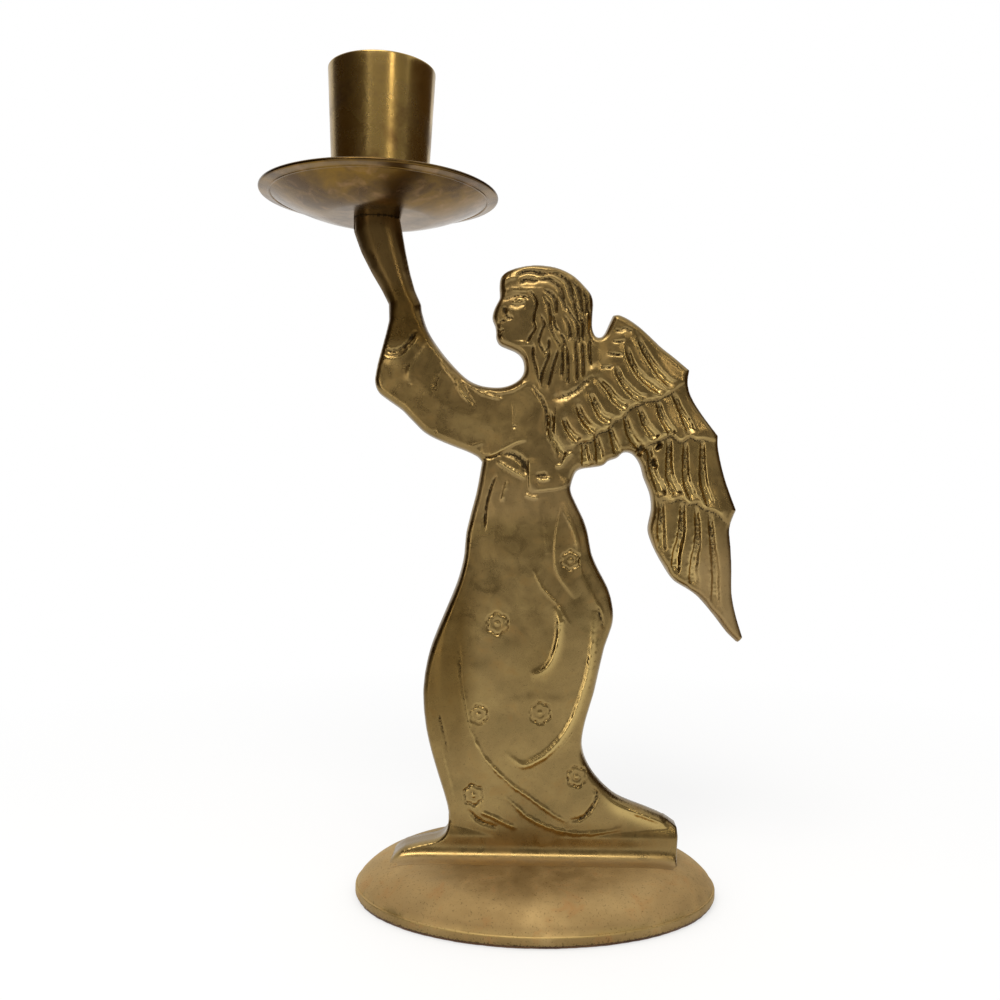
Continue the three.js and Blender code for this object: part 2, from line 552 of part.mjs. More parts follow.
// Pan, cup, washer and screw stand in a stack on the flat of the hand.
const candleHolder = new THREE.Group();
candleHolder.position.set(PAN_X, 0, PAN_Z);
const pan = piece('drip_pan', dripPan(), POLISHED_BRASS);
const cup = piece('candle_cup', candleCup(), POLISHED_BRASS);
cup.position.z = CUP_Z - PAN_Z;
const cupWasher = piece('cup_washer',
  washer(CUP_WASHER_RADIUS, CUP_SCREW_RADIUS + CLEARANCE, CUP_WASHER_THICKNESS), STEEL);
cupWasher.position.z = cup.position.z + CUP_FLOOR - CUP_SPOT_FACE_DEPTH;
const cupScrew = piece('cup_screw',
  screw(CUP_SCREW_RADIUS, CUP_SCREW_HEAD_RADIUS, CUP_SCREW_HEAD_HEIGHT,
    CUP_WASHER_THICKNESS + CUP_FLOOR - CUP_SPOT_FACE_DEPTH + PAN_SHEET + CUP_SCREW_GRIP), STEEL);
cupScrew.position.z = cupWasher.position.z + CUP_WASHER_THICKNESS;
candleHolder.add(pan, cup, cupWasher, cupScrew);
candlestick.add(candleHolder);

export default candlestick;
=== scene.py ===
# Angel candlestick in cast and turned brass: the looks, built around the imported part.
# The figure is one flat sand casting whose two faces carry the same relief. It stands on an oval
# domed foot with a felt pad, and holds up a dished drip pan with one tapered candle cup.
# Lengths are in millimetres until a mesh is made, and heights on the figure count from the underside
# of its plinth.

import logging
import math
from dataclasses import dataclass, field
from enum import Enum

import bpy
import numpy as np
from mathutils import Matrix, Vector

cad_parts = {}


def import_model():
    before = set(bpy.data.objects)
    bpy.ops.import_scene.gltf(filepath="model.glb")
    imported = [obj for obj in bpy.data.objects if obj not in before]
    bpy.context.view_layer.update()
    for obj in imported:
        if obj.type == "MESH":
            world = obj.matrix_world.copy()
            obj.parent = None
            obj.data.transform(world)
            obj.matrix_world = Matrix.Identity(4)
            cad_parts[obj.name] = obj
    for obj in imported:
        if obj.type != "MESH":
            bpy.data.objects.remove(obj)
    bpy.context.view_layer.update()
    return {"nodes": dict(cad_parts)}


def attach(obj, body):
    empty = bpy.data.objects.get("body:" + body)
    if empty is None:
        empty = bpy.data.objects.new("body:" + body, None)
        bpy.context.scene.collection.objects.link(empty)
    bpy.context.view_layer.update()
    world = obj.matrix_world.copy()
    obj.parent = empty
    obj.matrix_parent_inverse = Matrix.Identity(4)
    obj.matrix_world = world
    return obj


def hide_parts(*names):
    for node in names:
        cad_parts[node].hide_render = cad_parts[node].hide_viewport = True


logging.basicConfig(level=logging.INFO, format="%(message)s")
log = logging.getLogger("candlestick")

MM = 0.001
Points = list[tuple[float, float]]


# Node helpers

def linear(hex_colour: str) -> tuple[float, float, float, float]:
    """Turns an sRGB hex colour to linear.

    Args:
        hex_colour: six hex digits after a hash mark.

    Returns:
        Linear red, green and blue, with alpha 1.
    """
    parts = [int(hex_colour[i:i + 2], 16) / 255 for i in (1, 3, 5)]
    low = 0.04045
    return tuple(
        c / 12.92 if c <= low else ((c + 0.055) / 1.055) ** 2.4 for c in parts) + (1.0,)


def add_node(tree: bpy.types.NodeTree, kind: str, settings: dict | None = None,
             inputs: dict | None = None) -> bpy.types.Node:
    """Adds one node with its settings, values and links.

    Args:
        tree: the node tree that takes the node.
        kind: the node's type name.
        settings: attributes of the node.
        inputs: for each input, by name or place, a value or the output socket that feeds it.

    Returns:
        The new node.
    """
    node = tree.nodes.new(kind)
    for name, value in (settings or {}).items():
        setattr(node, name, value)
    for key, value in (inputs or {}).items():
        if isinstance(value, bpy.types.NodeSocket):
            tree.links.new(value, node.inputs[key])
        else:
            node.inputs[key].default_value = value
    return node


def ramp(tree: bpy.types.NodeTree, factor: bpy.types.NodeSocket,
         stops: list[tuple[float, str]]) -> bpy.types.NodeSocket:
    """Colours a value by stops.

    Args:
        tree: the node tree.
        factor: the value, from 0 to 1.
        stops: place and sRGB hex colour of each stop.

    Returns:
        The colour output.
    """
    node = add_node(tree, "ShaderNodeValToRGB", inputs={0: factor})
    elements = node.color_ramp.elements
    while len(elements) < len(stops):
        elements.new(0.5)
    for element, (place, colour) in zip(elements, stops):
        element.position = place
        element.color = linear(colour)
    return node.outputs[0]


def noise(tree: bpy.types.NodeTree, where: bpy.types.NodeSocket, grain_mm: float,
          detail: float = 3.0, roughness: float = 0.55, distortion: float = 0.0,
          ) -> bpy.types.NodeSocket:
    """Adds noise whose blotches are about as wide as the grain.

    Args:
        tree: the node tree.
        where: coordinates in metres.
        grain_mm: width of one blotch.
        detail: octaves.
        roughness: share of the finer octaves.
        distortion: swirl.

    Returns:
        The value output.
    """
    node = add_node(tree, "ShaderNodeTexNoise", inputs={
        "Vector": where, "Scale": 1 / (grain_mm * MM), "Detail": detail,
        "Roughness": roughness, "Distortion": distortion})
    return node.outputs[0]


def mapped(tree: bpy.types.NodeTree, value: bpy.types.NodeSocket, low: float, high: float,
           to_low: float = 0.0, to_high: float = 1.0) -> bpy.types.NodeSocket:
    """Maps a value from one range to another and clamps it.

    Args:
        tree: the node tree.
        value: the value.
        low: start of the range it comes from.
        high: end of that range.
        to_low: what the start becomes.
        to_high: what the end becomes.

    Returns:
        The mapped value.
    """
    node = add_node(tree, "ShaderNodeMapRange", inputs={
        0: value, 1: low, 2: high, 3: to_low, 4: to_high})
    return node.outputs[0]


def math_node(tree: bpy.types.NodeTree, operation: str, *values) -> bpy.types.NodeSocket:
    """Adds a clamped sum, product or other operation on values.

    Args:
        tree: the node tree.
        operation: the node's operation.
        values: numbers or sockets.

    Returns:
        The result.
    """
    return add_node(tree, "ShaderNodeMath", {"operation": operation, "use_clamp": True},
                    dict(enumerate(values))).outputs[0]


def mix_colour(tree: bpy.types.NodeTree, share, first, second) -> bpy.types.NodeSocket:
    """Mixes two colours.

    Args:
        tree: the node tree.
        share: the second colour's share.
        first: a colour or socket.
        second: a colour or socket.

    Returns:
        The mixed colour.
    """
    node = add_node(tree, "ShaderNodeMix", {"data_type": "RGBA"},
                    {0: share, 6: first, 7: second})
    return node.outputs[2]


def new_tree(name: str) -> tuple[bpy.types.Material, bpy.types.NodeTree]:
    """Makes an empty material.

    Args:
        name: the material's name.

    Returns:
        The material and its node tree.
    """
    material = bpy.data.materials.new(name)
    material.use_nodes = True
    material.node_tree.nodes.clear()
    return material, material.node_tree


def close_tree(tree: bpy.types.NodeTree, inputs: dict) -> None:
    """Ends a material with one principled shader.

    Args:
        tree: the node tree.
        inputs: values and links of the shader.
    """
    shader = add_node(tree, "ShaderNodeBsdfPrincipled", inputs=inputs)
    add_node(tree, "ShaderNodeOutputMaterial", inputs={"Surface": shader.outputs[0]})


# Finishes

@dataclass(frozen=True)
class CastBrass:
    """Sand-cast brass, filed and hand-polished, then aged for decades.

    The high places are rubbed to a soft golden shine, the flats have a blotchy olive bloom, and old
    dirt lies in specks in the carved hollows. The mesh's own attributes tell the hollows, with a
    painted shadow under the wing's tiers, the worn edges with painted highlights beside them, the
    parts that hands have turned brown with painted shade on the gown and the foot, and those left
    dull and pale.
    """

    wear_and_highlight: str = "#c9ae6f"
    rubbed: str = "#a58d5a"
    bloom: str = "#8d764b"
    olive: str = "#78653f"
    copper: str = "#8f6b3c"
    dirt_and_shade: str = "#2b2318"
    brown: str = "#543c12"
    pale: str = "#b0966a"
    blotch_mm: float = 16.0
    cloud_mm: float = 5.0
    copper_share: float = 0.4
    speck_share: float = 0.25
    pit_mm: float = 0.45
    scratch_mm: float = 0.5
    shine: tuple[float, float] = (0.22, 0.38)

    def material(self, name: str) -> bpy.types.Material:
        """Builds the material.

        Args:
            name: the material's name.

        Returns:
            The material.
        """
        material, tree = new_tree(name)
        where = add_node(tree, "ShaderNodeTexCoord").outputs["Object"]
        hollow_dirt_and_shade = add_node(tree, "ShaderNodeAttribute",
                          {"attribute_name": "hollow_dirt_and_shade"}).outputs["Fac"]
        blotch = noise(tree, where, self.blotch_mm, 4, 0.6, 0.4)
        cloud = noise(tree, where, self.cloud_mm, 5, 0.62, 0.6)
        pits = noise(tree, where, self.pit_mm, 2, 0.5)
        tone = math_node(tree, "ADD", math_node(tree, "MULTIPLY", blotch, 0.6),
                         math_node(tree, "MULTIPLY", cloud, 0.4))
        metal = ramp(tree, tone, [
            (0.34, self.olive), (0.5, self.bloom), (0.68, self.rubbed)])
        warm = mapped(tree, cloud, 0.56, 0.72, 0, self.copper_share)
        metal = mix_colour(tree, warm, metal, linear(self.copper))
        # Rubbed edges and painted highlights, in the pale gold colour.
        edge = add_node(tree, "ShaderNodeAttribute", {"attribute_name": "wear_and_highlight"}).outputs["Fac"]
        metal = mix_colour(tree, math_node(tree, "MULTIPLY", edge, 0.7), metal,
                           linear(self.wear_and_highlight))
        # Brown patina, and painted shade on parts of the gown and the foot.
        patina_and_shade = add_node(tree, "ShaderNodeAttribute", {"attribute_name": "patina_and_shade"}).outputs["Fac"]
        metal = mix_colour(tree, patina_and_shade, metal, linear(self.brown))
        satin = add_node(tree, "ShaderNodeAttribute", {"attribute_name": "satin"}).outputs["Fac"]
        metal = mix_colour(tree, satin, metal, linear(self.pale))
        stray = mapped(tree, pits, 0.6, 0.72, 0, self.speck_share)
        metal = mix_colour(tree, stray, metal, linear(self.dirt_and_shade))
        # Old dirt in specks in the hollows, and a painted shadow under the wing's tier edges.
        specks = mapped(tree, pits, 0.4, 0.6, 0.1, 1.0)
        solid = mapped(tree, hollow_dirt_and_shade, 0.55, 1.0, 0, 0.75)
        ragged = math_node(tree, "MULTIPLY", hollow_dirt_and_shade, math_node(tree, "MAXIMUM", specks, solid))
        dark = mapped(tree, ragged, 0.22, 0.6, 0, 0.88)
        metal = mix_colour(tree, dark, metal, linear(self.dirt_and_shade))
        dull = mapped(tree, cloud, 0.35, 0.68, *self.shine)
        dull = math_node(tree, "SUBTRACT", dull, math_node(tree, "MULTIPLY", edge, 0.14))
        dull = math_node(tree, "ADD", dull, math_node(tree, "MULTIPLY", satin, 0.3))
        rough = math_node(tree, "ADD", dull, math_node(tree, "MULTIPLY", dark, 0.3))
        lines = add_node(tree, "ShaderNodeMapping", {"vector_type": "POINT"}, {
            "Vector": where, "Rotation": (0.3, 0.5, 0.2), "Scale": (1, 0.12, 0.12)})
        scratches = noise(tree, lines.outputs[0], self.scratch_mm, 2, 0.6)
        relief = math_node(tree, "ADD", math_node(tree, "MULTIPLY", pits, 0.5),
                           math_node(tree, "MULTIPLY", scratches, 0.3))
        bump = add_node(tree, "ShaderNodeBump", inputs={
            "Strength": 0.2, "Distance": 0.05 * MM, "Height": relief})
        close_tree(tree, {"Base Color": metal, "Metallic": 1.0, "Roughness": rough,
                          "Normal": bump.outputs[0]})
        return material


@dataclass(frozen=True)
class TurnedBrass:
    """Brass spun or turned on a lathe and polished, with old stains.

    It shines more sharply than the casting, in rings left by the tool, under brown and purple
    tarnish that hands never rub off.
    """

    bright: str = "#b09459"
    mellow: str = "#9f854f"
    tarnish: str = "#7d633b"
    rose: str = "#8f7050"
    grime_and_shade: str = "#43331f"
    stain_mm: float = 9.0
    fleck_mm: float = 2.2
    ring_mm: float = 0.45
    stain_share: float = 0.5
    shine: tuple[float, float] = (0.2, 0.34)

    def material(self, name: str, axis_x: float) -> bpy.types.Material:
        """Builds the material.

        Args:
            name: the material's name.
            axis_x: X of the turning axis, in metres.

        Returns:
            The material.
        """
        material, tree = new_tree(name)
        where = add_node(tree, "ShaderNodeTexCoord").outputs["Object"]
        hollow_dirt_and_shade = add_node(tree, "ShaderNodeAttribute",
                          {"attribute_name": "hollow_dirt_and_shade"}).outputs["Fac"]
        stain = noise(tree, where, self.stain_mm, 5, 0.62, 0.25)
        fleck = noise(tree, where, self.fleck_mm, 4, 0.6, 0.5)
        metal = ramp(tree, stain, [
            (0.36, self.tarnish), (0.46, self.mellow), (0.6, self.bright)])
        rosy = mapped(tree, fleck, 0.52, 0.7, 0, self.stain_share)
        metal = mix_colour(tree, rosy, metal, linear(self.rose))
        # Dirt in the pan's crease and at its edge, and painted shade deepening inside the cup.
        dark = mapped(tree, hollow_dirt_and_shade, 0.3, 0.8)
        metal = mix_colour(tree, dark, metal, linear(self.grime_and_shade))
        centred = add_node(tree, "ShaderNodeVectorMath", {"operation": "SUBTRACT"}, {
            0: where, 1: (axis_x, 0, 0)}).outputs[0]
        rings = add_node(tree, "ShaderNodeTexWave", {
            "wave_type": "RINGS", "rings_direction": "Z", "wave_profile": "SIN"}, {
            "Vector": centred, "Scale": 0.05 / (self.ring_mm * MM), "Distortion": 0.6,
            "Detail": 2.0})
        rough = mapped(tree, stain, 0.35, 0.65, self.shine[1], self.shine[0])
        bump = add_node(tree, "ShaderNodeBump", inputs={
            "Strength": 0.12, "Distance": 0.03 * MM, "Height": rings.outputs["Fac"]})
        close_tree(tree, {"Base Color": metal, "Metallic": 1.0, "Roughness": rough,
                          "Normal": bump.outputs[0]})
        return material


@dataclass(frozen=True)
class ScrewSteel:
    """Plain turned steel of a slotted screw, a little oxidised, which gives it a grey bloom."""

    steel: str = "#8f9092"
    oxide: str = "#5a5148"
    bloom_mm: float = 1.5

    def material(self, name: str) -> bpy.types.Material:
        """Builds the material.

        Args:
            name: the material's name.

        Returns:
            The material.
        """
        material, tree = new_tree(name)
        where = add_node(tree, "ShaderNodeTexCoord").outputs["Object"]
        bloom = noise(tree, where, self.bloom_mm, 3)
        colour = ramp(tree, bloom, [(0.4, self.oxide), (0.58, self.steel)])
        rough = mapped(tree, bloom, 0.4, 0.6, 0.5, 0.34)
        close_tree(tree, {"Base Color": colour, "Metallic": 1.0, "Roughness": rough})
        return material


@dataclass(frozen=True)
class WoolFelt:
    """Pressed wool felt, brown and worn, which scatters all light and shows short fibres."""

    wool: str = "#4a3322"
    wear_and_highlight: str = "#6b4d33"
    fibre_mm: float = 0.35
    wear_mm: float = 6.0

    def material(self, name: str) -> bpy.types.Material:
        """Builds the material.

        Args:
            name: the material's name.

        Returns:
            The material.
        """
        material, tree = new_tree(name)
        where = add_node(tree, "ShaderNodeTexCoord").outputs["Object"]
        fibre = noise(tree, where, self.fibre_mm, 4, 0.7, 1.0)
        wear = noise(tree, where, self.wear_mm, 2)
        shade = math_node(tree, "ADD", math_node(tree, "MULTIPLY", fibre, 0.6),
                          math_node(tree, "MULTIPLY", wear, 0.4))
        colour = ramp(tree, shade, [(0.4, self.wool), (0.6, self.wear_and_highlight)])
        bump = add_node(tree, "ShaderNodeBump", inputs={
            "Strength": 0.6, "Distance": 0.15 * MM, "Height": fibre})
        close_tree(tree, {"Base Color": colour, "Roughness": 0.95, "Sheen Weight": 0.3,
                          "Normal": bump.outputs[0]})
        return material


# Mesh helpers

def new_object(name: str, vertices: np.ndarray, faces: list, material: bpy.types.Material,
               sharp_degrees: float = 40.0) -> bpy.types.Object:
    """Makes a smooth-shaded object whose hard edges stay hard.

    Args:
        name: the object's name.
        vertices: points in millimetres, in the frame.
        faces: vertex numbers of each face.
        material: its finish.
        sharp_degrees: faces that meet at more than this stay sharp.

    Returns:
        The object, linked to the scene.
    """
    mesh = bpy.data.meshes.new(name)
    mesh.from_pydata((np.asarray(vertices) * MM).tolist(), [], faces)
    mesh.validate()
    mesh.polygons.foreach_set("use_smooth", [True] * len(mesh.polygons))
    mesh.set_sharp_from_angle(angle=math.radians(sharp_degrees))
    mesh.materials.append(material)
    made = bpy.data.objects.new(name, mesh)
    bpy.context.scene.collection.objects.link(made)
    return made


def set_wear(made: bpy.types.Object, name: str, values: np.ndarray) -> None:
    """Writes a share from 0 to 1 on each vertex, for the finish to read.

    Args:
        made: the object.
        name: the share's name: the one for old dirt and painted shade in the hollows, the one for
        rubbed edges and painted highlights, the one for brown patina and painted shade, or "satin"
        for a dull pale skin.
        values: one value for each vertex.
    """
    layer = made.data.attributes.new(name, "FLOAT", "POINT")
    layer.data.foreach_set("value", np.asarray(values, np.float32))


def hand_in(made: bpy.types.Object, slot: str, *nodes: str) -> None:
    """Seats a finished piece in the frame.

    Args:
        made: the piece.
        slot: the record's material slot; not used.
        nodes: the solids that it stands for.
    """
    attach(made, "root")
    if nodes:
        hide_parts(*nodes)
    log.info("piece %s: %d faces", made.name, len(made.data.polygons))


def turn(profile: Points, centre: tuple[float, float], stretch: tuple[float, float] = (1, 1),
         sides: int = 144) -> tuple[np.ndarray, list]:
    """Turns a closed profile about an upright axis.

    Args:
        profile: radius and height of each point, in order round the section.
        centre: X and Y of the axis.
        stretch: factors along X and Y, for an oval.
        sides: steps round the axis.

    Returns:
        Vertices and faces. A point with no radius becomes one vertex.
    """
    angles = np.arange(sides) * 2 * math.pi / sides
    vertices: list = []
    rings = []
    for radius, height in profile:
        if radius == 0:
            rings.append([len(vertices)] * sides)
            vertices.append((centre[0], centre[1], height))
            continue
        rings.append(list(range(len(vertices), len(vertices) + sides)))
        vertices += [(centre[0] + radius * stretch[0] * math.cos(a),
                      centre[1] + radius * stretch[1] * math.sin(a), height) for a in angles]
    faces = []
    for low, high in zip(rings, rings[1:] + rings[:1]):
        if low[0] == low[1] and high[0] == high[1]:
            continue
        for i in range(sides):
            j = (i + 1) % sides
            corners = [low[i], low[j], high[j], high[i]]
            faces.append(tuple(dict.fromkeys(corners)))
    return np.array(vertices), faces


def rounded(corner: tuple[float, float], before: tuple[float, float],
            after: tuple[float, float], radius: float, steps: int = 4) -> Points:
    """Rounds one corner of a profile.

    Args:
        corner: the corner's place.
        before: the point before it.
        after: the point after it.
        radius: how far from the corner the curve begins.
        steps: pieces of the curve.

    Returns:
        The points that take the corner's place.
    """
    c, b, a = (np.array(p, float) for p in (corner, before, after))
    start = c + (b - c) / np.linalg.norm(b - c) * radius
    end = c + (a - c) / np.linalg.norm(a - c) * radius
    found = []
    for i in range(steps + 1):
        t = i / steps
        p = (1 - t) ** 2 * start + 2 * t * (1 - t) * c + t ** 2 * end
        found.append((float(p[0]), float(p[1])))
    return found


# Relief of the casting

class Relief(Enum):
    """How a stroke changes the face of the casting."""

    GROOVE = "cut in as a narrow line"
    RIDGE = "raised and rounded"
    STEP = "raised on the left of its direction, falling away slowly there"
    TROUGH = "a channel with a rough floor, which widens along its direction"


@dataclass(frozen=True)
class Stroke:
    """One modelled line on the casting, with a painted highlight and a painted shadow beside it."""

    points: tuple
    kind: Relief = Relief.GROOVE
    width: float = 0.6
    rise: float = 0.4
    reach: float = 3.0
    blunt: bool = False
    # shine sets a painted highlight along one flank, and the field after it a painted shadow under
    # the line.
    shine: float = 0.0
    grime_and_shade: float = 0.0


def curve_through(points, spacing: float = 0.5) -> np.ndarray:
    """Draws a smooth curve through points.

    Args:
        points: places on the face, in order.
        spacing: distance between the points of the result.

    Returns:
        Points of the curve, one row each.
    """
    p = np.array(points, float)
    if len(p) == 2:
        count = max(2, int(np.linalg.norm(p[1] - p[0]) / spacing))
        return p[0] + (p[1] - p[0]) * np.linspace(0, 1, count + 1)[:, None]
    ends = np.vstack([2 * p[0] - p[1], p, 2 * p[-1] - p[-2]])
    found = []
    for a, b, c, d in zip(ends, ends[1:], ends[2:], ends[3:]):
        count = max(2, int(np.linalg.norm(c - b) / spacing))
        t = np.linspace(0, 1, count, endpoint=False)[:, None]
        found.append(0.5 * (2 * b + (c - a) * t + (2 * a - 5 * b + 4 * c - d) * t ** 2
                            + (3 * b - a - 3 * c + d) * t ** 3))
    return np.vstack(found + [p[-1:]])


def nearest(curve: np.ndarray, x: np.ndarray, z: np.ndarray
            ) -> tuple[np.ndarray, np.ndarray, np.ndarray]:
    """Measures places against a curve.

    Args:
        curve: points of the curve.
        x: the places' X.
        z: the places' height.

    Returns:
        Distance, share of the curve's length at the nearest point, and side: 1 on the left.
    """
    a, b = curve[:-1], curve[1:]
    along = b - a
    length = np.maximum((along ** 2).sum(1), 1e-12)
    px, pz = x[:, None] - a[None, :, 0], z[:, None] - a[None, :, 1]
    t = np.clip((px * along[:, 0] + pz * along[:, 1]) / length, 0, 1)
    dx, dz = px - t * along[:, 0], pz - t * along[:, 1]
    square = dx ** 2 + dz ** 2
    best = square.argmin(1)
    rows = np.arange(len(x))
    ends = np.concatenate([[0], np.cumsum(np.sqrt(length))])
    share = (ends[best] + t[rows, best] * np.sqrt(length[best])) / ends[-1]
    cross = along[best, 0] * dz[rows, best] - along[best, 1] * dx[rows, best]
    return np.sqrt(square[rows, best]), share, np.sign(cross)


def softened(ring: np.ndarray, spacing: float = 0.7, passes: int = 5) -> np.ndarray:
    """Rounds the shallow corners of a closed outline and keeps the sharp ones.

    Args:
        ring: the outline's points.
        spacing: distance between the points of the result.
        passes: how often neighbours are averaged.

    Returns:
        The new points.
    """
    closed = np.vstack([ring, ring[:1]])
    along = np.concatenate([[0], np.cumsum(np.linalg.norm(np.diff(closed, axis=0), axis=1))])
    even = np.linspace(0, along[-1], int(along[-1] / spacing), endpoint=False)
    places = np.unique(np.concatenate([even, along[:-1]]))
    dense = np.stack([np.interp(places, along, closed[:, i]) for i in (0, 1)], 1)
    smooth = dense
    for _ in range(passes):
        smooth = (np.roll(smooth, 1, 0) + 2 * smooth + np.roll(smooth, -1, 0)) / 4
    come, go = dense - np.roll(dense, 2, 0), np.roll(dense, -2, 0) - dense
    cosine = (come * go).sum(1) / np.maximum(
        np.linalg.norm(come, axis=1) * np.linalg.norm(go, axis=1), 1e-9)
    bend = np.degrees(np.arccos(np.clip(cosine, -1, 1)))
    corner = np.clip((bend - 36) / 12, 0, 1)
    keep = corner
    for shift in (-2, -1, 1, 2):
        keep = np.maximum(keep, np.roll(corner, shift))
    return dense * keep[:, None] + smooth * (1 - keep[:, None])


def graded(start: float, end: float, step: float, finer: tuple) -> np.ndarray:
    """Steps along a line, with shorter steps inside some spans.

    Args:
        start: the first place.
        end: the line's end, which is left out.
        step: the usual distance.
        finer: start, end and step of each span.

    Returns:
        The places.
    """
    places = [start]
    while places[-1] < end:
        here = [s for low, high, s in finer if low <= places[-1] < high]
        places.append(places[-1] + (here[0] if here else step))
    return np.array(places[:-1])


def waviness(shape: tuple[int, int], cell: int, rng: np.random.Generator) -> np.ndarray:
    """Makes smooth random waves.

    Args:
        shape: rows and columns.
        cell: grid steps from one wave to the next.
        rng: source of the numbers.

    Returns:
        Values from about -1 to 1.
    """
    coarse = rng.uniform(-1, 1, (shape[0] // cell + 3, shape[1] // cell + 3))
    rows, columns = np.arange(shape[0]) / cell, np.arange(shape[1]) / cell
    i, j = rows.astype(int), columns.astype(int)
    u, v = rows - i, columns - j
    u, v = (u * u * (3 - 2 * u))[:, None], (v * v * (3 - 2 * v))[None, :]
    top = coarse[i][:, j] * (1 - v) + coarse[i][:, j + 1] * v
    low = coarse[i + 1][:, j] * (1 - v) + coarse[i + 1][:, j + 1] * v
    return top * (1 - u) + low * u


def blurred(values: np.ndarray, weight: np.ndarray, reach: int) -> np.ndarray:
    """Averages values over a square, counting only weighted places.

    Args:
        values: rows and columns of values.
        weight: 1 where a place counts, else 0.
        reach: half the square's side, in steps.

    Returns:
        The averages.
    """
    def summed(a: np.ndarray) -> np.ndarray:
        """Sums over the square."""
        for axis in (0, 1):
            pad = [(0, 0), (0, 0)]
            pad[axis] = (reach + 1, reach)
            total = np.cumsum(np.pad(a, pad), axis=axis)
            low = [slice(None)] * 2
            high = [slice(None)] * 2
            low[axis] = slice(0, -2 * reach - 1)
            high[axis] = slice(2 * reach + 1, None)
            a = total[tuple(high)] - total[tuple(low)]
        return a
    return summed(values * weight) / np.maximum(summed(weight), 1e-9)


HAIR_GROOVES = [
    ((-6.6, 150.2), (-5.4, 151.0), (-3.3, 151.1), (-1.4, 150.7), (0.4, 150.4)),
    ((1.0, 150.8), (2.4, 150.8), (4.1, 150.1), (5.6, 149.0), (6.3, 147.4), (6.9, 145.0),
     (8.0, 142.7), (9.3, 141.2), (9.9, 140.1)),
    ((-6.1, 148.2), (-5.1, 149.0), (-3.2, 148.8), (-2.3, 148.7)),
    ((-1.1, 149.0), (0.6, 149.3), (2.2, 148.5), (3.4, 147.6), (4.2, 145.9), (4.6, 144.0),
     (4.5, 143.1)),
    ((0.1, 146.3), (1.6, 145.4), (2.6, 144.0), (2.9, 142.1), (3.0, 140.2)),
    ((-0.1, 144.4), (0.9, 142.5), (1.4, 140.2), (1.5, 137.3), (2.5, 134.5), (3.7, 132.6),
     (4.0, 130.9)),
    ((-1.2, 140.1), (-0.2, 137.8), (-0.9, 135.6), (-1.5, 133.2), (-0.6, 131.3), (0.4, 129.2)),
    ((1.1, 134.0), (1.1, 132.1), (0.2, 130.2)),
    ((7.2, 148.6), (8.4, 146.9), (9.0, 144.6), (9.4, 142.2), (9.7, 140.3)),
    ((10.1, 146.0), (10.8, 143.6), (10.8, 141.3), (10.5, 140.1)),
    ((5.7, 142.4), (6.7, 140.3), (7.9, 138.9), (8.6, 137.0), (8.8, 134.1), (8.9, 132.7)),
    ((5.1, 139.8), (6.1, 137.9), (6.6, 135.7), (6.5, 133.6)),
    ((4.2, 135.2), (5.1, 133.6), (5.6, 131.7)),
    ((9.3, 139.8), (9.8, 137.5), (9.8, 134.6), (10.6, 133.0)),
    ((11.3, 142.2), (11.7, 138.9), (11.7, 135.8), (12.5, 133.0)),
    ((8.6, 134.6), (8.0, 132.2), (8.3, 129.8), (8.4, 127.0), (8.5, 122.9)),
    ((9.7, 133.6), (9.9, 130.3), (10.1, 127.5), (10.0, 123.9)),
    ((5.8, 132.2), (6.0, 128.8), (6.2, 125.8), (6.1, 122.2)),
    ((5.0, 133.4), (4.7, 130.2), (4.6, 126.9), (4.6, 123.6)),
    ((1.2, 131.2), (0.9, 129.0), (0.0, 126.8), (-0.7, 124.5), (-0.9, 121.6)),
    ((3.6, 131.4), (2.8, 128.8), (2.1, 126.4), (1.5, 123.8), (1.0, 121.2)),
    ((11.9, 134.4), (11.6, 131.8), (11.8, 128.9), (12.1, 126.8)),
    ((-2.9, 132.5), (-2.9, 129.2), (-1.9, 125.6), (-0.9, 122.1)),
    ((3.7, 145.4), (4.9, 143.1), (5.6, 141.2)),
    ((7.5, 144.5), (7.8, 142.2), (8.3, 139.8), (9.1, 137.4)),
    ((2.1, 140.2), (2.7, 137.3), (3.9, 135.5)),
]
HAIR_EDGE = ((-3.8, 145.8), (-2.9, 144.6), (-2.2, 142.7), (-2.8, 140.1), (-2.9, 138.2),
             (-2.5, 136.5), (-3.7, 134.6), (-4.3, 133.2))

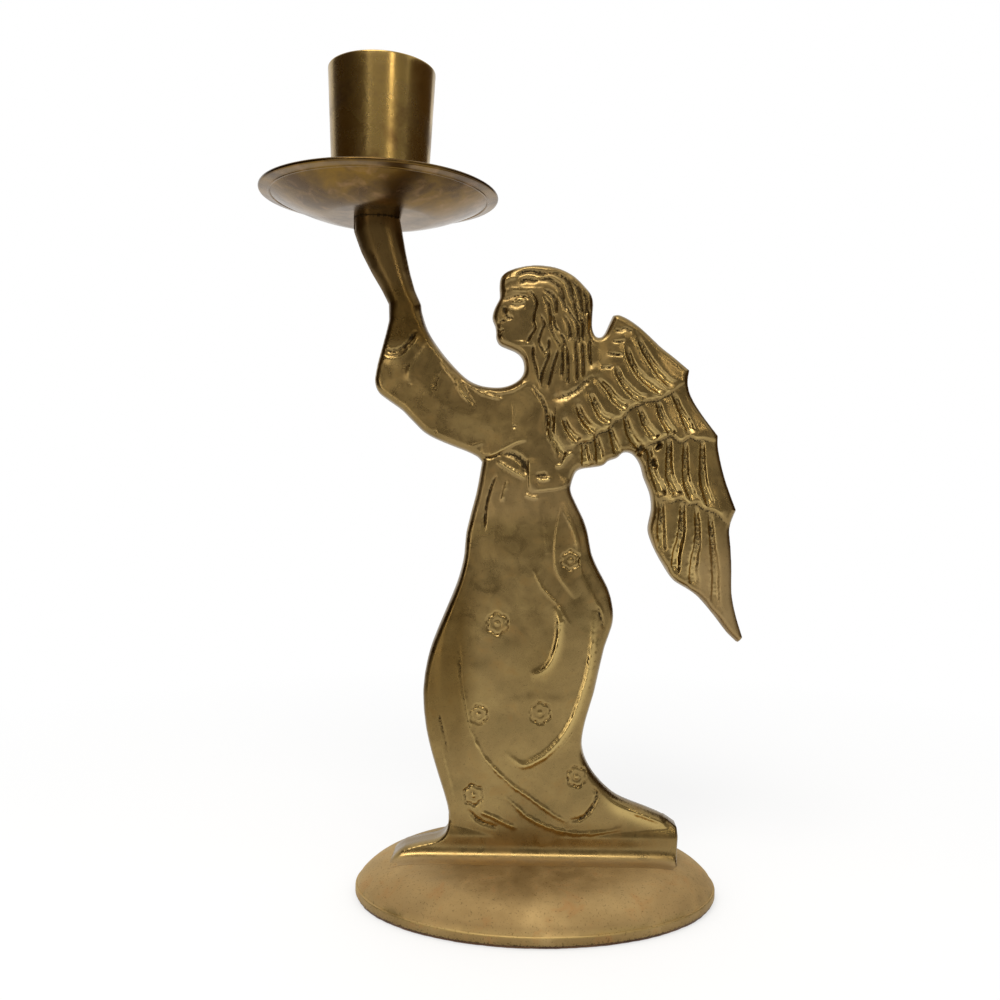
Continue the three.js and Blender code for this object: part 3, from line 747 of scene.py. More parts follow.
WING_GROOVES = [
    ((24.0, 135.0), (25.6, 131.6), (28.3, 127.5), (31.1, 124.1), (34.0, 122.0)),
    ((21.0, 132.7), (22.6, 128.1), (25.3, 124.4), (28.8, 121.8), (31.3, 120.1)),
    ((18.4, 127.3), (19.6, 124.3), (21.6, 121.6), (24.3, 119.4), (26.6, 118.5)),
    ((13.9, 123.8), (16.6, 121.2), (19.0, 118.2), (21.9, 116.5)),
    ((12.1, 120.0), (13.3, 117.3), (15.2, 114.3), (18.0, 113.0)),
    ((8.7, 117.2), (9.9, 114.2), (12.2, 111.2), (14.2, 110.0)),
    ((5.3, 113.7), (6.5, 110.7), (9.4, 107.6)),
    ((33.4, 120.6), (35.0, 116.9), (36.6, 113.9), (38.4, 110.0)),
    ((29.3, 118.6), (30.5, 114.5), (32.0, 111.9), (33.8, 109.6)),
    ((24.7, 116.6), (26.3, 112.6), (28.3, 109.9), (29.4, 108.4)),
    ((21.0, 114.6), (22.1, 110.6), (23.7, 107.9), (25.3, 106.4)),
    ((17.2, 111.5), (18.4, 107.9), (19.8, 104.4)),
    ((13.6, 109.4), (14.6, 105.1), (15.1, 101.6)),
    ((10.6, 107.6), (10.9, 104.4), (11.4, 101.2)),
    ((41.1, 109.0), (41.2, 102.2), (41.9, 96.1), (43.9, 91.0)),
    ((36.7, 108.8), (36.9, 99.0), (38.5, 94.5), (40.1, 92.4)),
    ((32.5, 109.2), (32.6, 100.5), (33.8, 96.7), (35.6, 93.4)),
    ((27.2, 107.4), (28.4, 100.4), (30.0, 96.6), (31.0, 93.6)),
    ((43.2, 90.9), (44.0, 83.1), (44.9, 75.4), (45.1, 65.0)),
    ((39.7, 92.0), (40.2, 83.0), (39.2, 75.3), (40.0, 69.6)),
    ((36.2, 93.2), (36.0, 84.9), (34.9, 79.1), (34.6, 73.2)),
    ((30.8, 93.0), (30.8, 86.7), (31.0, 79.3)),
]

TIER_EDGES = [
    ((4.4, 105.6), (7.7, 106.3), (9.4, 107.6), (12.0, 108.0), (14.3, 110.2), (16.6, 111.0),
     (18.1, 113.2), (20.3, 114.2), (22.1, 116.5), (24.3, 117.5), (26.3, 118.5), (28.6, 118.8),
     (31.1, 119.9), (34.2, 121.9), (37.4, 124.0)),
    ((25.0, 106.2), (27.2, 107.5), (30.1, 108.6), (32.9, 109.9), (35.4, 108.3), (37.9, 109.5),
     (39.5, 108.9), (42.0, 108.8), (45.6, 108.2)),
    ((29.6, 92.6), (31.0, 93.6), (33.2, 92.8), (35.3, 93.7), (37.5, 92.5), (40.0, 92.6),
     (41.8, 91.2), (44.5, 90.4), (48.0, 87.6), (49.6, 87.4)),
]

FACE = [
    Stroke(((-10.7, 143.5), (-9.3, 144.2), (-7.4, 144.8), (-5.3, 144.6), (-4.2, 143.8)),
           Relief.GROOVE, 0.32, 0.4),
    Stroke(((-7.8, 143.5), (-6.4, 144.0), (-4.9, 143.6)), Relief.RIDGE, 0.35, 0.3),
    Stroke(((-7.8, 143.0), (-5.2, 143.1)), Relief.RIDGE, 0.6, 0.3, blunt=True),
    Stroke(((-8.9, 142.8), (-7.4, 142.2), (-5.7, 142.5), (-4.5, 143.3)), Relief.GROOVE, 0.3, 0.3),
    Stroke(((-9.5, 141.7), (-8.3, 140.9), (-6.8, 140.9), (-4.9, 141.7)), Relief.RIDGE, 0.9, 0.2),
    Stroke(((-10.6, 142.2), (-10.2, 140.1), (-9.2, 139.0), (-8.4, 139.6)), Relief.GROOVE, 0.45, 0.45),
    Stroke(((-12.0, 137.5), (-11.1, 138.1), (-10.3, 138.6)), Relief.GROOVE, 0.32, 0.35),
    Stroke(((-12.3, 136.1), (-11.2, 135.8), (-10.5, 136.2)), Relief.GROOVE, 0.3, 0.4),
    Stroke(((-12.0, 134.9), (-11.0, 134.7)), Relief.GROOVE, 0.25, 0.25),
    Stroke(((-10.7, 145.3), (-8.8, 146.2), (-6.3, 146.3)), Relief.RIDGE, 0.9, 0.22),
    Stroke(((-10.8, 148.4), (-9.2, 149.3), (-6.9, 149.7)), Relief.RIDGE, 0.7, 0.35),
]

FIGURE_STROKES = [
    # bodice, sash and armpit
    Stroke(((-15.8, 103.5), (-13.0, 103.6), (-10.1, 105.0), (-6.6, 106.9), (-3.9, 107.6)),
           Relief.STEP, 0.45, 0.5, 2.6),
    Stroke(((-15.8, 103.1), (-13.0, 103.1), (-9.8, 104.6)), Relief.GROOVE, 0.35, 0.35),
    Stroke(((-10.2, 104.2), (-7.2, 103.7), (-5.0, 102.0), (-4.2, 98.8)), Relief.GROOVE, 0.75, 0.6),
    Stroke(((-11.6, 102.3), (-8.8, 100.6), (-6.1, 99.0), (-4.0, 98.0)), Relief.RIDGE, 0.55, 0.4),
    Stroke(((-3.6, 103.3), (-3.5, 99.4), (-3.3, 94.8)), Relief.STEP, 0.4, 0.35, 2.0),
    Stroke(((-3.2, 94.3), (0.4, 94.8), (3.9, 95.3), (6.4, 96.2), (7.4, 97.6)),
           Relief.STEP, 0.4, 0.45, 2.6),
    Stroke(((-4.3, 93.9), (-2.6, 93.1), (-0.7, 93.0)), Relief.RIDGE, 0.45, 0.4),
    Stroke(((1.5, 115.8), (2.2, 113.0), (2.2, 109.3), (4.6, 105.5), (4.9, 103.2)),
           Relief.TROUGH, 0.75, 0.45),
    Stroke(((3.3, 101.1), (4.9, 101.6), (6.2, 103.7), (7.8, 104.9)), Relief.RIDGE, 0.5, 0.5),
    Stroke(((-1.2, 98.0), (0.4, 97.5), (2.3, 98.2)), Relief.RIDGE, 0.4, 0.45),
    Stroke(((-0.8, 98.8), (0.7, 98.9)), Relief.GROOVE, 0.5, 0.5, blunt=True),
    Stroke(((-3.2, 122.1), (-1.8, 120.1), (-0.4, 118.2), (0.5, 116.2), (1.0, 114.4), (0.6, 109.8)),
           Relief.GROOVE, 0.45, 0.4),
    # A groove with a faint painted highlight beside it.
    Stroke(((2.2, 118.6), (4.4, 118.9), (6.4, 119.4), (8.7, 120.9), (10.8, 122.8), (12.6, 124.7)),
           Relief.GROOVE, 0.85, 0.5, shine=0.2),
    Stroke(((9.3, 114.5), (10.7, 112.7), (12.3, 110.9)), Relief.GROOVE, 0.4, 0.3),
    Stroke(((-7.9, 118.2), (-7.6, 114.6), (-7.4, 110.8)), Relief.GROOVE, 0.2, 0.12),
    # roots of the wing feathers beside the neck
    Stroke(((16.3, 130.6), (18.5, 130.1), (20.3, 129.9)), Relief.GROOVE, 0.4, 0.5),
    Stroke(((17.5, 133.7), (19.0, 133.4), (20.9, 133.8)), Relief.GROOVE, 0.35, 0.45),
    Stroke(((14.8, 126.8), (16.4, 126.7), (17.9, 127.2)), Relief.GROOVE, 0.35, 0.45),
    Stroke(((18.1, 136.8), (19.3, 136.3), (20.8, 136.9), (22.7, 136.0)), Relief.GROOVE, 0.4, 0.45),
    # gown, upper part
    Stroke(((-11.9, 98.7), (-13.1, 95.6), (-14.3, 90.3), (-14.7, 84.0)), Relief.GROOVE, 0.3, 0.5),
    Stroke(((-8.9, 97.2), (-9.4, 94.6), (-10.2, 91.9)), Relief.RIDGE, 0.5, 0.25),
    Stroke(((1.3, 93.2), (1.2, 86.9), (1.6, 78.5)), Relief.RIDGE, 0.7, 0.14),
    Stroke(((5.3, 92.2), (3.8, 85.4), (3.4, 78.6), (4.3, 73.3), (8.9, 67.1)),
           Relief.STEP, 0.4, 0.3, 2.4),
    Stroke(((16.1, 59.4), (16.3, 63.6), (14.1, 67.7), (10.8, 74.0), (10.2, 80.8), (8.5, 86.5),
            (5.6, 92.2)), Relief.STEP, 0.4, 0.35, 2.2),
    Stroke(((5.4, 90.2), (8.3, 84.6), (9.6, 78.8)), Relief.RIDGE, 0.4, 0.22),
    Stroke(((-1.8, 74.8), (0.4, 70.1), (4.7, 65.5), (6.3, 62.9), (7.9, 60.3)),
           Relief.RIDGE, 0.3, 0.2),
    # The belly fold, with a painted highlight along its crest.
    Stroke(((-2.1, 47.2), (1.1, 48.4), (3.6, 51.6), (5.0, 56.6), (5.2, 62.0), (4.3, 65.4)),
           Relief.RIDGE, 1.05, 0.65, shine=1.0),
    Stroke(((-18.4, 82.4), (-19.3, 74.0), (-21.5, 66.1), (-24.2, 57.1), (-25.1, 47.1),
            (-24.5, 39.3)), Relief.RIDGE, 1.5, 0.25),
    # gown, lower part and train
    Stroke(((-20.6, 55.3), (-20.2, 48.8), (-19.3, 42.2), (-17.8, 35.4), (-15.9, 30.2)),
           Relief.GROOVE, 0.25, 0.3),
    Stroke(((-20.4, 51.3), (-19.9, 45.8), (-18.6, 38.9), (-16.7, 32.1), (-13.8, 26.6),
            (-10.1, 22.6), (-5.9, 19.0), (-1.2, 15.8), (2.5, 13.2), (5.2, 11.4), (8.5, 10.0)),
           Relief.RIDGE, 0.5, 0.32),
    Stroke(((8.5, 10.4), (11.7, 11.0), (13.9, 13.3), (15.5, 16.6), (14.3, 18.9)),
           Relief.GROOVE, 0.45, 0.4),
    Stroke(((-8.6, 16.6), (-5.8, 14.4), (-2.1, 11.2), (2.6, 8.9), (7.2, 7.6), (11.3, 7.2),
            (16.4, 7.4), (20.0, 8.0), (22.3, 8.9)), Relief.RIDGE, 0.5, 0.3),
    Stroke(((-25.7, 37.9), (-24.5, 33.3), (-23.0, 27.4)), Relief.GROOVE, 0.25, 0.3),
    Stroke(((-24.6, 28.6), (-22.4, 20.4), (-20.6, 13.2)), Relief.RIDGE, 0.6, 0.2),
    Stroke(((-17.7, 12.8), (-14.9, 10.1), (-11.7, 8.8), (-9.8, 8.4)), Relief.GROOVE, 0.4, 0.35),
    Stroke(((-14.9, 12.4), (-11.2, 11.1), (-7.5, 9.4), (-4.8, 8.2)), Relief.RIDGE, 0.5, 0.3),
    Stroke(((24.0, 13.1), (28.2, 11.8), (33.2, 10.0)), Relief.RIDGE, 0.8, 0.35),
    Stroke(((33.4, 7.2), (34.6, 8.6), (36.4, 8.9)), Relief.GROOVE, 0.25, 0.25),
    # A long fold with a painted highlight along its crest.
    Stroke(((-8.4, 27.6), (-4.1, 24.5), (-0.5, 25.5), (4.0, 28.8), (8.1, 34.3), (10.7, 40.8),
            (12.9, 48.6), (13.9, 57.8), (14.0, 64.4)), Relief.RIDGE, 0.95, 0.6, shine=0.9),
    Stroke(((4.6, 26.6), (9.3, 33.1), (11.9, 39.9), (14.2, 48.0), (15.2, 57.0), (15.4, 62.0)),
           Relief.RIDGE, 0.4, 0.25),
    Stroke(((14.9, 65.2), (15.8, 62.4), (16.3, 59.7)), Relief.GROOVE, 0.35, 0.3),
    Stroke(((-8.1, 39.6), (-1.7, 41.1), (7.5, 40.3)), Relief.RIDGE, 1.5, 0.1),
    Stroke(((-25.4, 5.9), (-23.6, 6.9), (-20.8, 7.2), (-18.5, 6.5)), Relief.RIDGE, 0.4, 0.3),
    # sleeve and cuff
    Stroke(((-40.9, 131.3), (-40.0, 130.2), (-38.4, 130.1), (-36.2, 131.2), (-34.5, 133.2),
            (-33.1, 135.7)), Relief.GROOVE, 0.5, 0.5),
    Stroke(((-32.2, 134.2), (-34.2, 131.4), (-37.0, 129.0), (-39.6, 128.4), (-41.6, 129.4)),
           Relief.STEP, 0.5, 0.4, 1.6),
    Stroke(((-29.4, 132.6), (-31.5, 129.6), (-33.3, 127.1), (-34.5, 124.9), (-34.6, 122.4)),
           Relief.RIDGE, 0.8, 0.25),
    Stroke(((-26.8, 129.7), (-25.7, 126.9), (-23.5, 124.0), (-22.0, 121.5), (-20.2, 118.7),
            (-18.3, 116.5)), Relief.RIDGE, 0.5, 0.32),
    Stroke(((-21.7, 123.7), (-20.2, 120.8), (-18.7, 118.3), (-17.2, 115.7)),
           Relief.GROOVE, 0.35, 0.25),
    Stroke(((-26.4, 126.1), (-27.5, 123.6), (-28.1, 121.1), (-28.3, 118.2)),
           Relief.GROOVE, 0.5, 0.2),
    Stroke(((-21.0, 123.0), (-18.0, 120.9), (-15.1, 119.3), (-10.4, 118.1)),
           Relief.RIDGE, 0.5, 0.3),
    Stroke(((-14.4, 120.2), (-12.2, 119.3), (-10.4, 118.5)), Relief.GROOVE, 0.3, 0.25),
    Stroke(((-18.9, 105.7), (-17.1, 106.3), (-14.9, 106.9)), Relief.RIDGE, 0.5, 0.25),
    Stroke(((-15.1, 120.2), (-10.8, 119.9), (-7.6, 120.7), (-5.1, 122.2), (-3.3, 122.9)),
           Relief.RIDGE, 0.4, 0.3),
    Stroke(((-33.2, 143.7), (-32.8, 141.2), (-32.2, 137.9)), Relief.GROOVE, 0.5, 0.2),
    # small pits of the casting
    Stroke(((-34.4, 121.5), (-34.3, 121.4)), Relief.GROOVE, 0.25, 0.3, blunt=True),
    Stroke(((-27.8, 109.5), (-27.7, 109.4)), Relief.GROOVE, 0.25, 0.3, blunt=True),
    Stroke(((-7.4, 111.1), (-7.3, 111.1)), Relief.GROOVE, 0.3, 0.4, blunt=True),
    Stroke(((24.3, 104.6), (25.4, 106.2)), Relief.GROOVE, 0.8, 1.1, blunt=True),
    Stroke(((29.5, 106.2), (30.2, 107.3)), Relief.GROOVE, 0.5, 0.9, blunt=True),
    Stroke(((28.6, 103.4), (29.0, 101.8)), Relief.GROOVE, 0.45, 0.7, blunt=True),
]

ROSETTES = [(7.6, 77.1, 2.7, 0.3), (-10.8, 60.6, 3.1, 0.35), (0.5, 37.9, 3.1, 0.3),
            (-15.2, 37.2, 2.6, 0.25), (-16.2, 16.4, 2.9, 0.9), (10.2, 21.5, 2.9, 0.8)]


@dataclass
class AngelCasting:
    """The flat cast angel with its raised arm, wing, gown and plinth."""

    solid: bpy.types.Object
    finish: CastBrass = field(default_factory=CastBrass)
    node: str = "angel_figure"
    seat_z: float = 9.4
    step: float = 0.31
    finer_columns: tuple = ((-14.0, 14.0, 0.22), (14.0, 60.0, 0.27))
    finer_rows: tuple = ((64.0, 117.0, 0.27), (117.0, 155.0, 0.22))
    edge_band: float = 1.1
    edge_round: float = 1.7
    face_half: float = 3.35
    swell: float = 0.85
    swell_reach: float = 8.0
    plinth_half: float = 4.2
    plinth_ease: float = 5.0
    fillet: float = 4.8
    hand_top: float = 164.8
    cuff_height: float = 130.5
    hand_starts: float = 135.0
    hand_whole: float = 146.0
    hand_sizes: tuple = ((132.5, 3.3, 3.2), (142.5, 3.0, 3.3), (146.2, 3.3, 3.4),
                         (150.6, 3.8, 3.6), (155.9, 4.4, 3.9), (161.2, 4.8, 4.1),
                         (172.8, 4.6, 4.1))
    head_centre: tuple[float, float] = (0.4, 142.6)
    head_radius: float = 11.5
    head_half: float = 4.1
    skirt: float = 0.5
    parting: float = 0.1
    seed: int = 7

    def outline(self) -> np.ndarray:
        """Reads the casting's outline in its parting plane, with its screw holes closed.

        Returns:
            Points in order, as X and height above the plinth's underside.
        """
        mesh = self.solid.data
        count = len(mesh.vertices)
        places = np.zeros(count * 3)
        mesh.vertices.foreach_get("co", places)
        places = places.reshape(-1, 3) / MM
        mesh.calc_loop_triangles()
        corners = np.zeros(len(mesh.loop_triangles) * 3, int)
        mesh.loop_triangles.foreach_get("vertices", corners)
        corners = corners.reshape(-1, 3)
        cut_y = 0.013
        side = places[:, 1] > cut_y
        crossing = corners[(side[corners].sum(1) % 3) != 0]
        ends = []
        for triangle in crossing:
            pair = []
            for a, b in zip(triangle, np.roll(triangle, -1)):
                if side[a] != side[b]:
                    p, q = places[a], places[b]
                    share = (cut_y - p[1]) / (q[1] - p[1])
                    pair.append(tuple(np.round((p + share * (q - p))[[0, 2]], 3)))
            ends.append(pair)
        links: dict = {}
        for a, b in ends:
            if a != b:
                links.setdefault(a, []).append(b)
                links.setdefault(b, []).append(a)
        loops = []
        left = set(links)
        while left:
            at = left.pop()
            loop = [at]
            while True:
                onward = [p for p in links[at] if p in left]
                if not onward:
                    break
                at = onward[0]
                left.discard(at)
                loop.append(at)
            loops.append(loop)
        ring = np.array(max(loops, key=len))
        ring[:, 1] -= self.seat_z
        near_hole = np.zeros(len(ring), bool)
        for x, low, high in ((-20, 0.05, 7), (20, 0.05, 7),
                             (-43.35, self.hand_top - 12, self.hand_top - 0.05)):
            near_hole |= ((np.abs(ring[:, 0] - x) < 2.5) & (ring[:, 1] > low)
                          & (ring[:, 1] < high))
        ring = ring[~near_hole]
        ring[ring[:, 1] < 0.05, 1] = -self.skirt
        return softened(ring)

    def measure(self, ring: np.ndarray, x: np.ndarray, z: np.ndarray, open_top: bool
                ) -> tuple[np.ndarray, np.ndarray, np.ndarray]:
        """Measures places against the outline.

        Args:
            ring: the outline.
            x: the places' X.
            z: the places' height.
            open_top: leave out the palm and the underside, which the form runs through.

        Returns:
            Distance to the outline, nearest point on it and the outward direction there.
        """
        a, b = ring, np.roll(ring, -1, 0)
        if open_top:
            level = np.abs(a[:, 1] - b[:, 1]) < 0.05
            keep = ~(level & ((a[:, 1] > self.hand_top - 0.5) | (a[:, 1] < 0.1)))
            a, b = a[keep], b[keep]
        along = b - a
        length = np.maximum((along ** 2).sum(1), 1e-12)
        distance = np.empty(len(x))
        point = np.empty((len(x), 2))
        outward = np.empty((len(x), 2))
        turn_way = np.sign((ring[:, 0] * np.roll(ring[:, 1], -1)
                            - np.roll(ring[:, 0], -1) * ring[:, 1]).sum())
        for start in range(0, len(x), 4000):
            part = slice(start, start + 4000)
            px, pz = x[part, None] - a[:, 0], z[part, None] - a[:, 1]
            t = np.clip((px * along[:, 0] + pz * along[:, 1]) / length, 0, 1)
            dx, dz = px - t * along[:, 0], pz - t * along[:, 1]
            square = dx ** 2 + dz ** 2
            best = square.argmin(1)
            rows = np.arange(len(best))
            distance[part] = np.sqrt(square[rows, best])
            point[part] = a[best] + t[rows, best][:, None] * along[best]
            unit = along[best] / np.sqrt(length[best])[:, None]
            outward[part] = np.stack([unit[:, 1], -unit[:, 0]], 1) * turn_way
        return distance, point, outward

    @staticmethod
    def inside(ring: np.ndarray, x: np.ndarray, z: np.ndarray) -> np.ndarray:
        """Tells which places lie inside the outline.

        Args:
            ring: the outline.
            x: the places' X.
            z: the places' height.

        Returns:
            True where a place lies inside.
        """
        found = np.zeros(len(x), bool)
        for (ax, az), (bx, bz) in zip(ring, np.roll(ring, -1, 0)):
            if az == bz:
                continue
            crosses = ((az > z) != (bz > z)) & (x < (bx - ax) * (z - az) / (bz - az) + ax)
            found ^= crosses
        return found

    def body_half(self, x: np.ndarray, z: np.ndarray, inset: np.ndarray) -> np.ndarray:
        """Gives the smooth form under the relief.

        Args:
            x: the places' X.
            z: the places' height.
            inset: distance to the outline.

        Returns:
            Half thickness.
        """
        share = np.clip(inset / self.edge_round, 0, 1)
        flat = self.edge_band + (self.face_half - self.edge_band) * np.sqrt(1 - (1 - share) ** 2)
        flat = flat + self.swell * (1 - np.exp(-(inset / self.swell_reach) ** 2))
        wing = np.clip((x - 14) / 8, 0, 1) * np.clip((z - 50) / 10, 0, 1)
        flat = flat - 0.3 * wing * np.clip(inset / 2, 0, 1)
        sizes = np.array(self.hand_sizes)
        radius = np.interp(z, sizes[:, 0], sizes[:, 1])
        depth = np.interp(z, sizes[:, 0], sizes[:, 2])
        across = 1 - np.clip(inset / radius, 0, 1)
        round_part = np.maximum(depth * np.sqrt(1 - across ** 2), 0.3)
        share = np.clip((z - self.hand_starts) / (self.hand_whole - self.hand_starts), 0, 1)
        share = share * share * (3 - 2 * share)
        share = np.where(x < -25, share, 0)
        half = flat * (1 - share) + round_part * share
        far = np.hypot(x - self.head_centre[0], z - self.head_centre[1]) / self.head_radius
        dome = self.head_half * np.sqrt(np.clip(1 - far ** 2, 0, 1)) ** 0.5
        edge = np.clip(inset / 2.2, 0, 1)
        dome = self.edge_band + (dome - self.edge_band) * np.sqrt(1 - (1 - edge) ** 2)
        return np.maximum(half, dome)

    def plinth(self, z: np.ndarray, inset: np.ndarray) -> np.ndarray:
        """Gives the plinth with the concave fillet at its foot.

        Args:
            z: the places' height.
            inset: distance to the outline.

        Returns:
            Half thickness, 0 above the plinth.
        """
        up = 1 - np.clip(z, 0, self.fillet) / self.fillet
        power = 3
        half = self.plinth_half + self.fillet * (1 - (1 - up ** power) ** (1 / power))
        above = np.clip((z - self.fillet - 1) / self.plinth_ease, 0, 1)
        half = half - 1.6 * above * above * (3 - 2 * above)
        bevel = 0.7
        half = half - bevel * (1 - np.sqrt(1 - (1 - np.clip(inset / bevel, 0, 1)) ** 2))
        return np.where(above < 1, half, 0)

    def feathers(self, x: np.ndarray, z: np.ndarray, rough: np.ndarray) -> np.ndarray:
        """Gives the wing: rounded feathers between channels, in tiers that overlap downwards.

        Args:
            x: the places' X.
            z: the places' height.
            rough: unevenness at each place.

        Returns:
            The change of half thickness, the dirt with painted shadow, and the painted highlight.
        """
        swell_reach, fade = 1.7, 3.4
        least = np.full(len(x), 99.0)
        near = np.flatnonzero((x > 3) & (z > 55) & (z < 142))
        for line in WING_GROOVES:
            least[near] = np.minimum(least[near], nearest(curve_through(line), x[near], z[near])[0])
        round_top = 0.35 * (1 - np.exp(-(least / swell_reach) ** 2)) * np.exp(-(least / fade) ** 4)
        channels = [Stroke(line, Relief.TROUGH, 0.9, 0.6) for line in WING_GROOVES]
        # Each tier edge carries a painted shadow under its step.
        edges = [Stroke(line, Relief.STEP, 0.6, 0.65, 4.5, grime_and_shade=0.9) for line in TIER_EDGES]
        found = self.strokes(x, z, channels + edges, rough)
        found[0] += round_top
        return found

    @staticmethod
    def strokes(x: np.ndarray, z: np.ndarray, strokes: list, rough: np.ndarray) -> np.ndarray:
        """Adds up what strokes do to the face.

        Args:
            x: the places' X.
            z: the places' height.
            strokes: the strokes.
            rough: unevenness of the hand-cut lines at each place, about 0.

        Returns:
            The change of half thickness, the dirt with painted shadow, and the painted highlight.
        """
        found = np.zeros((3, len(x)))
        for stroke in strokes:
            curve = curve_through(stroke.points)
            pad = 3 * stroke.width + (2 * stroke.reach if stroke.kind is Relief.STEP else 0)
            low, high = curve.min(0) - pad, curve.max(0) + pad
            near = np.flatnonzero((x > low[0]) & (x < high[0]) & (z > low[1]) & (z < high[1]))
            if not len(near):
                continue
            distance, share, side = nearest(curve, x[near], z[near])
            ends = 1.0 if stroke.blunt else np.clip(np.minimum(share, 1 - share) / 0.2, 0, 1) ** 0.7
            ragged = rough[near]
            if stroke.kind is not Relief.TROUGH:
                ragged = ragged * min(1, 0.5 / stroke.width) ** 2
            uneven = 1 + 0.5 * ragged
            wide = stroke.width * (1 + 0.3 * ragged)
            below = side * distance / wide
            # Painted shadow under the line and painted highlight along one flank.
            dirt_and_shade = stroke.grime_and_shade * np.exp(-((below + 1.0) / 0.6) ** 2)
            shine = stroke.shine * np.exp(-((below + 0.7) / 0.9) ** 2)
            if stroke.kind is Relief.GROOVE:
                change = -stroke.rise * uneven * np.exp(-(distance / wide) ** 2)
                dirt_and_shade = (min(1, stroke.rise / 0.45) * (1 - stroke.shine) * uneven
                        * np.exp(-(distance / wide) ** 2))
            elif stroke.kind is Relief.TROUGH:
                wide = wide * (0.55 + 0.75 * share)
                floor = np.exp(-(distance / wide) ** 4)
                lip = 0.16 * np.exp(-((distance - 1.5 * wide) / (0.4 * wide)) ** 2)
                scooped = np.clip((share - 0.35) / 0.35, 0, 1)
                ragged = rough[near] * (1 - 0.6 * scooped)
                change = -stroke.rise * floor * (1 - 0.5 * ragged) + lip * (side < 0)
                ends = np.clip(share / 0.15, 0, 1) * np.clip((1 - share) / 0.12, 0, 1)
                dirt_and_shade = floor * (0.62 - 0.44 * scooped + 0.3 * ragged)
                # Painted highlight in the channel's scooped lower end.
                shine = floor * (0.25 + 0.75 * scooped) * np.clip(1 - share, 0, 0.15) / 0.15
            elif stroke.kind is Relief.RIDGE:
                change = stroke.rise * uneven * np.exp(-(distance / wide) ** 2)
                # Painted highlight along the ridge's crest.
                shine = stroke.shine * np.exp(-(distance / wide) ** 2)
            else:
                over = 1 / (1 + np.exp(-4 * side * distance / wide))
                change = stroke.rise * over * np.exp(-(distance / stroke.reach) ** 2)
            found[0, near] += ends * change
            found[1, near] = np.maximum(found[1, near], ends * dirt_and_shade)
            found[2, near] = np.maximum(found[2, near], ends * shine)
        return found

    def rosettes(self, x: np.ndarray, z: np.ndarray, rough: np.ndarray) -> np.ndarray:
        """Gives the scalloped flowers that are cut into the gown.

        Args:
            x: the places' X.
            z: the places' height.
            rough: unevenness at each place.

        Returns:
            The change of half thickness, the dirt and the shine.
        """
        found = np.zeros((3, len(x)))
        petals = 6
        for number, (cx, cz, radius, grime_and_shade) in enumerate(ROSETTES):
            near = np.flatnonzero(np.hypot(x - cx, z - cz) < radius * 1.8)
            dx, dz = x[near] - cx, z[near] - cz
            far = np.hypot(dx, dz)
            angle = np.arctan2(dz, dx) + number
            edge = radius * (0.74 + 0.16 * np.abs(np.sin(petals * angle / 2)) + 0.06 * rough[near])
            ring = np.exp(-((far - edge) / 0.26) ** 2) * (0.8 + 0.6 * rough[near])
            eye = np.exp(-(far / 0.45) ** 2)
            eye_ring = np.exp(-((far - 0.95) / 0.24) ** 2) * (0.6 + 0.6 * rough[near])
            found[0, near] += 0.16 * eye - 0.34 * ring - 0.2 * eye_ring
            found[1, near] = grime_and_shade * np.clip(ring + 0.7 * eye_ring, 0, 1)
        return found

    def hair(self, x: np.ndarray, z: np.ndarray, rough: np.ndarray) -> np.ndarray:
        """Gives the combed locks, rounded between the lines that part them.

        Args:
            x: the places' X.
            z: the places' height.
            rough: unevenness at each place.

        Returns:
            The change of half thickness, the dirt and the shine.
        """
        lobe_reach = 1.0
        found = np.zeros((3, len(x)))
        near = np.flatnonzero((x > -9) & (x < 16) & (z > 117) & (z < 155))
        least = np.full(len(near), 99.0)
        for line in HAIR_GROOVES:
            distance, share, _ = nearest(curve_through(line), x[near], z[near])
            least = np.minimum(least, distance + 0.5 * np.clip(0.12 - np.minimum(
                share, 1 - share), 0, 1) / 0.12 * 0.6)
        edge, _, side = nearest(curve_through(HAIR_EDGE), x[near], z[near])
        behind = 1 / (1 + np.exp(-5 * side * edge / 0.6))
        behind = np.where((z[near] > 145.8) | (z[near] < 133.2), 1, behind)
        within = np.exp(-(least / 3.0) ** 4)
        crown = np.clip((z[near] - 142) / 6, 0, 1)
        line = np.exp(-(least / (0.28 + 0.27 * crown)) ** 2)
        lock = 0.16 * (1 - np.exp(-(least / lobe_reach) ** 2)) - (0.34 + 0.12 * crown) * line
        on_hair = np.where(behind > 0.5, 1, 0.15)
        found[0, near] = within * lock * on_hair
        close = np.exp(-(edge / 3.0) ** 2) * (z[near] > 132) * (z[near] < 147)
        rim = np.exp(-(edge / 0.34) ** 2) * close
        found[0, near] += 0.22 * close * (behind - 0.5) - 0.36 * rim
        found[1, near] = np.maximum(line * on_hair * (0.95 + 0.3 * rough[near]), 0.8 * rim)
        return found

    def relief(self, x: np.ndarray, z: np.ndarray, rough: np.ndarray) -> np.ndarray:
        """Adds up all that is modelled on the face.

        Args:
            x: the places' X.
            z: the places' height.
            rough: unevenness at each place.

        Returns:
            The change of half thickness, the dirt with painted shadow, and the painted highlight.
        """
        parts = [self.feathers(x, z, rough), self.strokes(x, z, FACE + FIGURE_STROKES, rough),
                 self.rosettes(x, z, rough), self.hair(x, z, rough)]
        found = np.max(parts, axis=0)
        found[0] = sum(part[0] for part in parts)
        return found

    def dome_lift(self, x: np.ndarray) -> np.ndarray:
        """Gives how far the dome's surface beside the plinth lies above the plinth's underside."""
        return OvalFoot().surface(x, self.plinth_half + self.fillet) - self.seat_z

